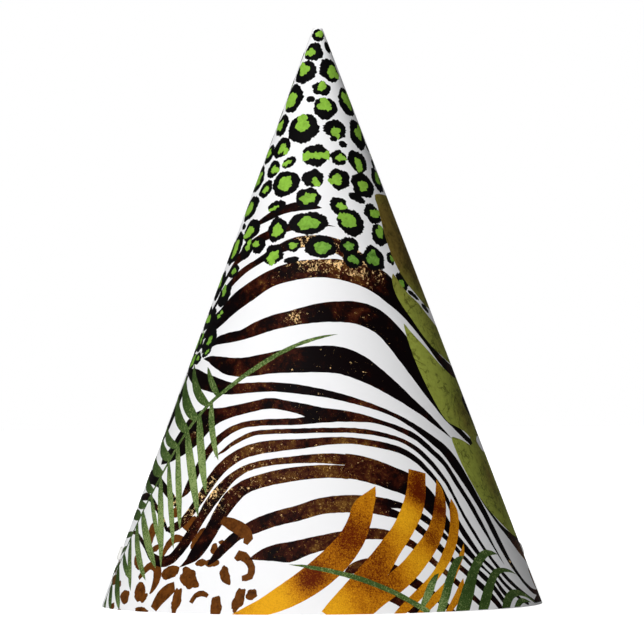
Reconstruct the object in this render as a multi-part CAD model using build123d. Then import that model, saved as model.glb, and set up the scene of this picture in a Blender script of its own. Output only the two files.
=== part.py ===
"""Cone party hat: one printed card blank rolled into a cone, the glue film in its back seam,
and two small eyelets that line the holes for a chin string.

Frame: +Z up along the cone's axis, origin at the centre of the rim's plane, front of the hat
towards -Y, seam towards +Y, millimetres. Wrap angles are in degrees round the cone, 0 at the
front and positive towards +X.
"""

import os
from math import asin, cos, radians, sin, sqrt, tan

from build123d import *

# ---- Driving dimensions ------------------------------------------------------------------
RIM_DIAMETER = 133.0  # outside of the card at the rim
SLANT_LENGTH = 190.0  # from the cone's point, down its side, to the rim
TIP_OPENING = 3.0  # outside diameter where the blank's point is cut off
CARD = 0.4  # thickness of the card

SEAM_ANGLE = 180.0  # where the outer ply's free edge lies
SEAM_OVERLAP = 12.0  # width of the glued lap, measured round the rim
SEAM_RAMP = 9.0  # width at the rim over which the card steps in under the outer ply
RAMP_SECTIONS = 7  # sections that shape the step

GLUE = 0.10  # space between the two plies, filled by the glue film
GLUE_PLY_GAP = 0.01  # clearance of the film to each ply
GLUE_MARGIN = 1.2  # bare card at the free edge and at the flap's edge, at the rim
GLUE_END_MARGIN = 3.0  # bare card above the rim and below the tip

EYELET_ANGLE = -84.0  # wrap angle of the left eyelet; the right one is opposite
EYELET_RISE = 17.0  # from the rim up the side to an eyelet's centre
EYELET_BORE = 1.8  # hole for the string
EYELET_WALL = 0.35  # wall of the barrel
EYELET_HOLE_GAP = 0.1  # radial clearance of the barrel in the card
EYELET_HEAD = 4.6  # diameter of the head
EYELET_HEAD_HEIGHT = 0.75  # crown of the head above the card
EYELET_TAIL = 4.0  # diameter of the rolled tail inside the hat
EYELET_TAIL_HEIGHT = 0.5  # depth of the rolled tail
EYELET_EDGE = 0.12  # thickness of the head and tail at their edges
SEAT_GAP = 0.01  # clearance of head and tail to the card where they come nearest
PUNCH_LENGTH = 8.0  # length of the tool that cuts a string hole, centred on the card's outside

# ---- Worked out from them ----------------------------------------------------------------
RIM_RADIUS = RIM_DIAMETER / 2
HALF_ANGLE = asin(RIM_RADIUS / SLANT_LENGTH)
POINT_HEIGHT = RIM_RADIUS / tan(HALF_ANGLE)
TIP_RADIUS = TIP_OPENING / 2
LAP_STEP = CARD + GLUE  # how far in the lower ply of the lap lies


def side_radius(height):
    """Outside radius of the card at a height above the rim."""
    return (POINT_HEIGHT - height) * tan(HALF_ANGLE)


def level(thickness):
    """A thickness square to the card, measured level instead."""
    return thickness / cos(HALF_ANGLE)


def arc_angle(width):
    """The wrap angle, in degrees, of a width measured round the rim."""
    return width / (RIM_RADIUS * radians(1.0))


def meridian(wrap):
    """The plane through the axis at a wrap angle: x runs outwards and y runs up."""
    outward = (sin(radians(wrap)), -cos(radians(wrap)), 0.0)
    across = (cos(radians(wrap)), sin(radians(wrap)), 0.0)
    return Plane(origin=(0, 0, 0), x_dir=outward, z_dir=[-c for c in across])


def strip_section(wrap, depth, thickness, low, high):
    """A slice of sheet at a wrap angle, between two heights, its outside `depth` inside the cone."""
    outer_low = side_radius(low) - level(depth)
    outer_high = side_radius(high) - level(depth)
    wall = level(thickness)
    corners = [
        (outer_low, low),
        (outer_high, high),
        (outer_high - wall, high),
        (outer_low - wall, low),
    ]
    return meridian(wrap) * make_face(Polyline(*corners, close=True))


def rolled_strip(start, end, depth, thickness, low, high):
    """Sheet that follows the cone from one wrap angle to another."""
    section = strip_section(start, depth, thickness, low, high)
    return revolve(section, Axis.Z, end - start)


def make_hat_card():
    """The rolled blank: a full turn at the outside, a step in, and the flap under the lap."""
    tip_height = POINT_HEIGHT - TIP_RADIUS / tan(HALF_ANGLE)
    turn_end = SEAM_ANGLE + 360.0
    ramp_start = turn_end - arc_angle(SEAM_RAMP)
    body = rolled_strip(SEAM_ANGLE, ramp_start, 0.0, CARD, 0.0, tip_height)

    sections = []
    for i in range(RAMP_SECTIONS):
        share = i / (RAMP_SECTIONS - 1)
        wrap = ramp_start + share * (turn_end - ramp_start)
        depth = LAP_STEP * share * share * (3 - 2 * share)
        sections.append(strip_section(wrap, depth, CARD, 0.0, tip_height))
    ramp = loft(sections)

    flap_end = turn_end + arc_angle(SEAM_OVERLAP)
    flap = rolled_strip(turn_end, flap_end, LAP_STEP, CARD, 0.0, tip_height)

    card = body + ramp + flap
    hole_radius = EYELET_BORE / 2 + EYELET_WALL + EYELET_HOLE_GAP
    for wrap in (EYELET_ANGLE, EYELET_ANGLE + 180.0):
        punch = Cylinder(hole_radius, PUNCH_LENGTH)
        card -= eyelet_seat(wrap) * punch
    return card


def make_seam_glue():
    """The glue film between the two plies of the lap, a wedge that narrows towards the tip."""
    tip_height = POINT_HEIGHT - TIP_RADIUS / tan(HALF_ANGLE)
    start = SEAM_ANGLE + arc_angle(GLUE_MARGIN)
    end = SEAM_ANGLE + arc_angle(SEAM_OVERLAP - GLUE_MARGIN)
    return rolled_strip(
        start,
        end,
        CARD + GLUE_PLY_GAP,
        GLUE - 2 * GLUE_PLY_GAP,
        GLUE_END_MARGIN,
        tip_height - GLUE_END_MARGIN,
    )


def eyelet_seat(wrap):
    """The plane that lies on the card's outside at an eyelet, with z straight out of the card."""
    height = EYELET_RISE * cos(HALF_ANGLE)
    radius = side_radius(height)
    outward = Vector(sin(radians(wrap)), -cos(radians(wrap)), 0)
    place = outward * radius + Vector(0, 0, height)
    square_out = outward * cos(HALF_ANGLE) + Vector(0, 0, sin(HALF_ANGLE))
    return Plane(origin=place, z_dir=square_out)


def rolled_arc(steep, crown):
    """A quarter-round edge, from where it stands square to the card up to its crown."""
    share = sqrt(0.5)
    middle = (
        crown[0] + (steep[0] - crown[0]) * share,
        steep[1] + (crown[1] - steep[1]) * share,
    )
    return ThreePointArc(steep, middle, crown)


def make_eyelet(wrap):
    """A one-piece eyelet: rolled head outside, barrel through the card, rolled tail inside."""
    bore = EYELET_BORE / 2
    barrel = bore + EYELET_WALL
    head = EYELET_HEAD / 2
    tail = EYELET_TAIL / 2
    # The inside of the card curves towards the tail, so the tail stands off by that sagitta.
    curve_radius = side_radius(EYELET_RISE * cos(HALF_ANGLE)) / cos(HALF_ANGLE)
    sagitta = tail * tail / (2 * (curve_radius - CARD))
    tail_seat = -CARD - sagitta - SEAT_GAP
    head_crown = ((bore + head) / 2, EYELET_HEAD_HEIGHT)
    tail_crown = ((bore + tail) / 2, tail_seat - EYELET_TAIL_HEIGHT)

    outline = [
        Line((bore, tail_seat), (bore, SEAT_GAP)),
        rolled_arc((bore, SEAT_GAP), head_crown),
        rolled_arc((head, EYELET_EDGE), head_crown),
        Polyline(
            (head, EYELET_EDGE),
            (head, SEAT_GAP),
            (barrel, SEAT_GAP),
            (barrel, tail_seat),
            (tail, tail_seat),
            (tail, tail_seat - EYELET_EDGE),
        ),
        rolled_arc((tail, tail_seat - EYELET_EDGE), tail_crown),
        rolled_arc((bore, tail_seat), tail_crown),
    ]
    section = Plane.XZ * make_face(outline)
    return eyelet_seat(wrap) * revolve(section, Axis.Z)


def main():
    os.makedirs("parts", exist_ok=True)
    parts = {
        "hat_card": make_hat_card(),
        "seam_glue": make_seam_glue(),
        "eyelet_left": make_eyelet(EYELET_ANGLE),
        "eyelet_right": make_eyelet(EYELET_ANGLE + 180.0),
    }
    for name, part in parts.items():
        export_step(part, f"parts/{name}.step")


main()
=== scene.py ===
"""The looks of a rolled card party hat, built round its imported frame.

The frame gives the hat's sizes and its hardware. This file draws the animal print and the leaves
on the flat blank, cuts the blank out, rolls it into the cone with Geometry Nodes, gives every
piece its finish and sets a plain studio round the hat. The print is drawn in millimetres on the
flat blank; everything else is in metres, +Z up, with the front of the hat towards -Y.
"""

import random
from math import atan, atan2, cos, degrees, exp, hypot, pi, radians, sin, sqrt, tau

import bpy
from bpy.props import FloatProperty, FloatVectorProperty, PointerProperty
from mathutils import Matrix, Vector
from mathutils.geometry import delaunay_2d_cdt


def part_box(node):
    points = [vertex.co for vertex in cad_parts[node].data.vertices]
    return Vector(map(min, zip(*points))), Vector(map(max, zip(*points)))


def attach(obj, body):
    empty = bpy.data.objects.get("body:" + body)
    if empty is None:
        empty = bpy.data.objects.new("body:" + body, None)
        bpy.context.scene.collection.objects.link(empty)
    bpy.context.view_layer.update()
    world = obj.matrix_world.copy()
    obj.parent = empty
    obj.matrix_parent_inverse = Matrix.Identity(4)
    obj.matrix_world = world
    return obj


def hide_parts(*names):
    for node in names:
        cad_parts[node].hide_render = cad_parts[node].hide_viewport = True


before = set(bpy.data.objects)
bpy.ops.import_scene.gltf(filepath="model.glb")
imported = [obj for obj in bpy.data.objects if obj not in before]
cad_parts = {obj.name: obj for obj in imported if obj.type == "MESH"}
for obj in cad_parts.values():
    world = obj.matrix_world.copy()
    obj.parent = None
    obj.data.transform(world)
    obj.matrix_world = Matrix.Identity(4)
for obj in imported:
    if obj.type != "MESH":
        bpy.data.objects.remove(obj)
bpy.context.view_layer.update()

bl_info = {
    "name": "Card Party Hat",
    "version": (1, 0, 0),
    "blender": (4, 5, 0),
    "location": "3D View > Sidebar > Party Hat",
    "description": "Makes a rolled card party hat with an animal print, leaves and string eyelets",
    "category": "Object",
}

MM = 0.001

# ---- Sizes that come from the frame ----------------------------------------------------------
_, card_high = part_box("hat_card")
RIM_RADIUS = card_high.x
HAT_HEIGHT = card_high.z


def ink(red, green, blue):
    """A colour as it is named on a swatch, 0 to 255, turned into the linear one shaders use."""
    return tuple(((c / 255 + 0.055) / 1.055) ** 2.4 if c > 10 else c / 3295 for c in (red, green, blue))


def length(name, description, default):
    """A length in metres, shown in the scene's own unit."""
    return FloatProperty(name=name, description=description, default=default, unit="LENGTH", precision=5)


def turning(name, description, default):
    """An angle, given in degrees."""
    return FloatProperty(name=name, description=description, default=radians(default), subtype="ANGLE")


def swatch(name, description, default):
    """A colour shown as a swatch."""
    return FloatVectorProperty(
        name=name, description=description, default=default, subtype="COLOR", min=0.0, max=1.0
    )


class CardSizes(bpy.types.PropertyGroup):
    """The rolled card's sizes that the frame's box doesn't tell."""

    thickness: length("Card thickness", "Thickness of the card", 0.4 * MM)
    tip_radius: length("Tip radius", "Outside radius where the point is cut off", 1.5 * MM)
    lap_step: length("Lap step", "How far the flap steps in under the outer ply", 0.5 * MM)
    ramp_width: length("Ramp width", "Width at the rim over which the card steps in", 9 * MM)
    lap_width: length("Lap width", "Width of the glued lap at the rim", 12 * MM)
    hole_radius: length("Hole radius", "Radius of the holes for the eyelets", 1.35 * MM)
    eyelet_rise: length("Eyelet rise", "From the rim up the side to an eyelet", 17 * MM)
    eyelet_wrap: turning("Eyelet wrap", "Where the left eyelet lies; the right one is opposite", -84)


class PrintColours(bpy.types.PropertyGroup):
    """The inks of the print and the card's own colours."""

    coat: swatch("Coated card", "The white coated outside of the card", ink(236, 236, 237))
    bare: swatch("Bare card", "The uncoated inside and the cut edges", ink(236, 234, 229))
    lime: swatch("Lime", "Middles of the rosettes", ink(138, 185, 64))
    ring: swatch("Ring", "Rings of the rosettes", ink(9, 8, 9))
    stripe: swatch("Stripe", "The stripes where they are plain", ink(9, 4, 5))
    stripe_maroon: swatch("Stripe maroon", "The stripes where they are worn a little", ink(56, 20, 11))
    stripe_brown: swatch("Stripe brown", "The stripes where they are worn through", ink(78, 46, 17))
    fleck: swatch("Fleck", "Flecks of leaf on the stripes", ink(244, 204, 140))
    olive: swatch("Olive", "The big leaf", ink(140, 148, 62))
    olive_dark: swatch("Olive dark", "The big leaf's shaded and veined places", ink(66, 58, 18))
    spot: swatch("Spot", "The leopard spots", ink(92, 51, 15))
    spot_dark: swatch("Spot dark", "The leopard spots' darker places", ink(54, 27, 7))
    palm: swatch("Palm", "The fronds", ink(62, 86, 38))
    palm_light: swatch("Palm light", "The fronds' glitter", ink(142, 158, 98))
    gold: swatch("Gold", "The gold leaf at its brightest", ink(216, 156, 24))
    gold_deep: swatch("Gold deep", "The gold leaf between bright and copper", ink(178, 110, 13))
    copper: swatch("Copper", "The gold leaf at its darkest", ink(92, 30, 4))


class StudioSettings(bpy.types.PropertyGroup):
    """The camera's place and the strength of the studio's lights."""

    distance: length("Camera distance", "From the hat's axis to the camera", 1.2)
    height: length("Camera height", "Above the floor that the hat stands on", 0.057)
    aim: length("Aim height", "The height that the camera looks at", 0.085115)
    shift: length("Sideways", "How far the camera stands to the right of the axis", 0.00068)
    roll: turning("Roll", "Turn of the camera about its own axis", 0.4266)
    lens: FloatProperty(
        name="Lens", description="Focal length on a 36 mm sensor", default=221.8, subtype="DISTANCE_CAMERA"
    )
    key: FloatProperty(name="Key light", description="Strength of the soft light at the left", default=3.1)
    back: FloatProperty(name="Back light", description="Strength of the soft light behind", default=1.6)
    fill: FloatProperty(name="Fill", description="Strength of the light from all round", default=0.05)


# ---- Drawing the print ---------------------------------------------------------------------
# Everything is drawn on the flat blank, in millimetres: x across, 0 on the front's middle line,
# and y from the cone's point down to the rim. Later shapes lie over earlier ones.

FOIL, LIME, RING, OLIVE, RIB, SPOT, PALM, GOLD, COAT = range(1, 10)  # inks, and the plain coated card


def spline(stations, step):
    """A Catmull-Rom curve through stations of any width, divided into pieces about `step` long."""
    out = []
    last = len(stations) - 1
    for i in range(last):
        a, b, c, d = (stations[min(max(i + k, 0), last)] for k in (-1, 0, 1, 2))
        count = max(1, round(hypot(c[0] - b[0], c[1] - b[1]) / step))
        for j in range(count):
            t = j / count
            out.append(
                tuple(
                    q + 0.5 * t * (r - p + t * (2 * p - 5 * q + 4 * r - s + t * (3 * (q - r) + s - p)))
                    for p, q, r, s in zip(a, b, c, d)
                )
            )
    out.append(tuple(stations[-1]))
    return out


def band(stations, rough=0.06, step=1.3, seed=0):
    """The outline of a stripe from stations (x, y, thickness) on its middle line."""
    draw = random.Random(seed)
    line = spline(stations, step)
    left = []
    right = []
    for i, (x, y, wide) in enumerate(line):
        before = line[max(i - 1, 0)]
        after = line[min(i + 1, len(line) - 1)]
        along = (after[0] - before[0], after[1] - before[1])
        size = hypot(*along) or 1.0
        across = (-along[1] / size, along[0] / size)
        half = max(wide, 0.0) / 2
        up = half + draw.uniform(-rough, rough) * min(1.0, wide)
        down = half + draw.uniform(-rough, rough) * min(1.0, wide)
        if half < 0.03:
            left.append((x, y))
            continue
        left.append((x + across[0] * up, y + across[1] * up))
        right.append((x - across[0] * down, y - across[1] * down))
    return left + right[::-1]


def blob(x, y, wide, high, tilt=0.0, rough=0.1, seed=0, step=0.8, lumps=0.08):
    """A rounded spot of half sizes `wide` and `high`, turned by `tilt`, with an uneven edge."""
    draw = random.Random(seed)
    waves = [(k, draw.uniform(-lumps, lumps), draw.uniform(0, tau)) for k in (2, 3, 5)]
    count = max(8, round(tau * sqrt((wide * wide + high * high) / 2) / step))
    turn = radians(tilt)
    out = []
    for i in range(count):
        angle = tau * i / count
        grow = 1 + sum(size * cos(k * angle + start) for k, size, start in waves)
        out_x = (wide * grow + draw.uniform(-rough, rough)) * cos(angle)
        out_y = (high * grow + draw.uniform(-rough, rough)) * sin(angle)
        out.append((x + out_x * cos(turn) - out_y * sin(turn), y + out_x * sin(turn) + out_y * cos(turn)))
    return out


def smooth_outline(points, step=1.6):
    """A closed, rounded outline through the points given."""
    around = points[-1:] + points + points[:2]
    line = spline(around, step)
    # the stretches before the first point and after the last one only set the slopes there
    first = tuple(points[0])
    return line[line.index(first) : len(line) - 1 - line[::-1].index(first)]


def blade(x, y, tip_x, tip_y, bulge, width, seed=0):
    """A leaflet from its base to its tip, bowed sideways by `bulge`."""
    dx, dy = tip_x - x, tip_y - y
    far = hypot(dx, dy)
    side_x, side_y = -dy / far * bulge * 2, dx / far * bulge * 2
    stations = []
    for i in range(9):
        t = i / 8
        bow = t * (1 - t)
        wide = width * (t + 0.06) ** 0.5 * (1 - t) ** 0.65 * 1.85
        stations.append((x + dx * t + side_x * bow, y + dy * t + side_y * bow, wide))
    return band(stations, rough=0.05, step=1.6, seed=seed)


def turned(points, angle):
    """Points turned about the cone's point by a wrap on the flat blank, in degrees."""
    c, s = cos(radians(angle)), sin(radians(angle))
    return [(x * c + y * s, y * c - x * s) + tuple(rest) for x, y, *rest in points]


def mirrored(points, middle):
    """Points mirrored about a straight line from the cone's point, at an angle in degrees."""
    c, s = cos(radians(2 * middle)), sin(radians(2 * middle))
    return [(-x * c + y * s, x * s + y * c) + tuple(rest) for x, y, *rest in points]


# The stripes, each a line of stations (x, y, thickness).
ZEBRA = [
    [(-21, 65, 1.5), (-16, 64, 2.6), (-11, 63, 2.6), (-6, 62.6, 3), (-1, 63.2, 1.5), (1, 63.5, 0)],
    [
        (-37, 79, 2), (-31, 75, 2.5), (-26, 72.8, 4.5), (-21, 71, 3.5), (-16, 70, 3), (-9, 69, 2.5),
        (-2, 68.6, 1.5), (5, 69.4, 0),
    ],
    [
        (-42, 86, 2), (-37, 83.5, 2.5), (-32, 81.6, 3), (-26, 79.4, 2.8), (-20, 78, 2.2),
        (-14, 76.2, 2.8), (-8, 74.5, 3.6), (-2, 74.2, 4), (4, 75.2, 4.6), (9, 77.4, 5), (14, 80.5, 5),
    ],
    [
        (-46, 93.5, 2.5), (-40, 93, 4.5), (-35, 91.6, 6.3), (-29, 89.3, 6.8), (-22, 87.1, 6.6),
        (-15, 84.7, 5.6), (-8, 83.4, 6), (0, 82.9, 5.8), (5, 83, 6.4), (10, 83.6, 7), (15, 84.3, 8),
        (20, 85.7, 9), (24, 88.5, 8), (28, 92, 5), (33, 96.3, 3), (38, 99.6, 2.8), (43, 102.3, 3.6),
        (48, 103, 4.6), (53, 102.4, 4.6), (58, 100, 4), (64, 96.5, 3),
    ],
    [
        (-44, 99.5, 1.5), (-36, 99.3, 2.6), (-30, 100.1, 3.4), (-25, 100.7, 3.5), (-20, 100, 4.5),
        (-14, 99, 4.9), (-8, 98.3, 5), (0, 97.1, 6.1), (6, 96.6, 6.6), (11, 96.5, 7.2), (16, 97.5, 7.8),
        (20, 99.4, 7.8), (25, 103.6, 8.4), (30, 109, 8), (34.5, 114, 7), (39, 118.3, 6), (43, 121.8, 5),
        (47, 124.2, 3.3), (51, 125.8, 2.6), (56, 126.6, 2.6), (62, 126, 2.5),
    ],
    [
        (-42, 102.8, 0), (-38, 104.5, 2), (-34, 107, 3.8), (-29, 109.8, 5.4), (-23, 111.6, 6.2),
        (-15, 111.8, 6.8), (-8, 111.7, 7.8), (0, 111.7, 8.4), (6, 112, 8.5), (12, 113.9, 8),
        (18, 116.8, 6.4), (24, 120, 4.8), (29, 122.6, 3.4), (34, 124.9, 2.5), (39, 127.3, 1.5),
        (44.4, 129.6, 0),
    ],
    [
        (-56, 101, 0), (-51, 103.5, 2.5), (-46, 107, 4.5), (-41, 110.6, 4.8), (-36, 113.6, 4.8),
        (-31, 116.2, 4.2), (-26, 117.9, 3.5), (-20, 118.7, 3.2), (-12, 119.8, 2.9), (-5, 121.2, 2.8),
        (2, 122.6, 2.4), (10, 124.4, 2), (17, 126, 1.5), (22, 127.3, 1.4), (26, 128.6, 1.6),
        (30, 130.1, 1.9), (35, 132.2, 2.7), (40, 134.3, 3.4), (44, 137.2, 4.2), (48, 141, 4),
        (52, 145, 3.5), (56, 149.2, 3.1), (60, 154, 3.1), (63.5, 158.2, 3), (67, 161.8, 2.5),
        (71, 164.3, 1.9), (76, 166.2, 1.7), (82, 166.3, 1.8), (88, 164.2, 1.8), (95, 160.5, 2),
    ],
    [
        (-60, 130.5, 2), (-54, 130.5, 6), (-48, 128.8, 10), (-42, 126.6, 11.5), (-37, 125.4, 8.5),
        (-32, 125, 4.8), (-26, 124.9, 3.6), (-20, 124.7, 3.3), (-15, 124.5, 3.4), (-10, 125.8, 3.2),
        (-5, 127.3, 3.6), (0, 129.1, 4.7), (5, 129.3, 3.9), (10, 129.5, 3), (15, 129.9, 1.9),
        (20, 130.7, 1.5), (25, 131.8, 1.8), (30, 133.3, 2), (35, 136.1, 1.9), (40, 139.1, 1.9),
        (45, 144.5, 2), (50, 149.6, 2.1), (53, 153.2, 2.1), (56, 156.6, 1.6), (59, 160, 1),
        (62, 163, 0.6), (64, 164.8, 0),
    ],
    [
        (-46, 148, 0), (-44, 146.5, 2.6), (-42, 144, 3.6), (-39.5, 140.3, 3.2), (-36.5, 136.5, 3),
        (-33, 133.4, 2.8), (-29, 131.3, 2.5), (-24, 130.1, 2), (-18, 130.2, 2), (-12, 130.7, 2.1),
        (-6, 130.9, 2.2), (0, 130.2, 2.8), (4, 129.8, 2.5),
    ],
    [
        (-33.5, 138.2, 0), (-30, 136.8, 1.1), (-26, 134.9, 1.5), (-20, 133.3, 1.5), (-14, 133.5, 1.5),
        (-6, 133.9, 1.6), (2, 133.9, 1.6), (10, 133.7, 1.6), (17, 134, 1.5), (21, 134.5, 1.4),
        (25, 135.1, 1.4), (30, 137.1, 1.7), (35, 140.4, 1.7), (40, 144.9, 1.5), (43.5, 149.8, 1.2),
        (46.5, 154.2, 1.3), (50, 158.2, 1.4), (53, 161.4, 1.4), (56, 164, 1.4), (60, 166.8, 1.5),
        (64, 168.9, 1.7), (69, 170.3, 1.6), (75, 170.7, 1.2), (82, 170.2, 1.2),
    ],
    [
        (-52, 156, 0), (-49.5, 156.8, 2.6), (-45, 156.2, 3.2), (-41, 153.2, 3.4), (-37, 149, 3.6),
        (-33.5, 144.8, 4), (-29.5, 141.5, 4), (-24, 139, 3.8), (-18, 138.1, 3.9), (-12, 138, 3.6),
        (-5, 137.9, 3), (2, 137.2, 2.4), (9, 136.9, 2.1), (16, 137.3, 2.1), (21, 137.8, 2.1),
        (25, 138.5, 2), (30, 140.7, 1.9), (35, 144.4, 1.6), (37.5, 147, 1.6), (40, 150.8, 1.5),
        (42.3, 155, 2), (45, 158.8, 2.3), (48, 162, 2.2), (51, 164.7, 1.8), (54, 166.9, 1.3),
        (58, 168.6, 1.5), (62, 171.2, 1.5), (66, 172.6, 1.5), (71, 173.7, 1.2), (76, 173.4, 1),
    ],
    [
        (-74, 148.5, 1), (-69, 151.5, 1.2), (-65, 155, 1.3), (-61, 159.3, 1.5), (-57.5, 163.2, 2.4),
        (-53.5, 166, 3.2), (-49, 166.9, 3.6), (-45, 164.7, 4), (-41, 160.7, 4), (-37.5, 156.6, 3.6),
        (-34.5, 152.8, 4), (-31, 149.3, 4), (-27, 146, 3), (-22, 143.8, 2.3), (-16, 143, 2.1),
        (-9, 142.8, 2.2), (-3, 142.6, 2.7), (2, 142.6, 3.2), (8, 142.9, 3.4),
    ],
    [
        (-45, 170.3, 0), (-42, 169.3, 2), (-39, 167.4, 4.6), (-36, 164.3, 5), (-33, 160.3, 4.8),
        (-30.5, 156.5, 5.2), (-27.5, 152.8, 5.6), (-23, 149.7, 4.6), (-17, 148.3, 4.3), (-10, 147.4, 4.4),
        (-3, 146.8, 4.2), (3, 146.6, 4), (8, 146.7, 4.3),
    ],
    [
        (7, 144.8, 7.6), (11, 145.1, 7.7), (16, 146.1, 7.6), (21, 147.4, 7.4), (26, 148.6, 7.2),
        (30, 150.3, 6.8), (34, 153.3, 6), (38, 157.6, 4.2), (42, 161.8, 3), (46, 164.8, 2.6),
        (50, 167.5, 1.8), (54, 169.5, 0.9), (57, 171, 1.2), (61, 174.2, 1.9), (65, 176, 1.8),
    ],
    [
        (-34.5, 171.8, 0.5), (-32, 169.8, 2.6), (-28.5, 166.8, 3.4), (-24.5, 164, 3.4), (-20, 162.3, 4.4),
        (-14, 160.6, 4.6), (-7, 159.2, 4.8), (0, 157.2, 5), (6, 156.5, 5.3), (12, 156.2, 5.4),
        (17, 156.4, 5.4), (20.5, 156.9, 5.4),
    ],
    [
        (19, 155.3, 3.2), (24, 155.6, 1.8), (28, 157, 2), (32, 158.6, 2.2), (36, 161.2, 1.8),
        (40, 163.8, 1.6), (44, 166.9, 1.4), (48, 169.6, 1.4), (52, 171.6, 2), (56, 173.6, 2),
        (61, 177.5, 2), (65, 181, 2),
    ],
    [
        (19, 157.8, 3), (24, 159, 2.2), (28, 161, 2.2), (32, 163.5, 2.2), (37, 167, 2.2), (41, 169.9, 2),
        (45, 172, 1.9), (49, 174.2, 2.2), (53, 176.2, 2.4), (58, 179.3, 2.4), (62, 183, 2),
    ],
    [
        (-21.5, 172, 0), (-17, 171.1, 3.6), (-13, 170.8, 5.2), (-9.5, 170.9, 6.2), (-5, 169.7, 5.2),
        (0, 168.4, 4.6), (5, 167, 4), (11, 165.5, 3.6), (17, 165, 3.3), (22, 165.6, 2.8), (27, 167, 2.3),
        (31, 169.4, 2.2), (35, 172, 2), (39, 174.6, 2), (43, 177, 2), (48, 179.8, 2), (53, 182.5, 1.5),
    ],
    [
        (6.6, 177.6, 0.6), (8.6, 176.3, 2.8), (11.8, 175.1, 4), (16, 174.6, 4), (21, 175.6, 3.6),
        (26, 178, 3.2), (30, 180, 3), (34, 182, 2.6), (38, 184.4, 2), (42, 187, 1.2),
    ],
    [(17, 183.5, 1.5), (22, 184.8, 2.6), (26, 186.7, 3), (31, 189, 2)],
    [(-66, 121, 2), (-62, 117.5, 5), (-58, 112, 6.5), (-55, 107, 5), (-53, 103, 2)],
    [
        (-76, 128, 2), (-71, 130.5, 4.5), (-66, 133, 4.5), (-61, 136.5, 3.5), (-56, 140.5, 2.6),
        (-51, 145.5, 2.4), (-47, 150, 2),
    ],
    [
        (51, 140.6, 0.4), (57, 146.4, 1), (64, 150.4, 1.6), (70, 151.8, 2.8), (77, 152, 6),
        (85, 150.4, 8), (93, 146.8, 9), (99, 143, 9),
    ],
    [(80.5, 170.8, 0.3), (84, 168.8, 1.8), (88, 166.5, 3), (93, 163.2, 4), (99, 158.8, 4.4)],
    [
        (-82, 133, 1.5), (-74, 136.5, 2.5), (-68, 139, 2.5), (-63, 142, 1.8), (-58, 147, 1.6),
        (-54, 152, 1.5), (-51, 157, 1),
    ],
]

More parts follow.
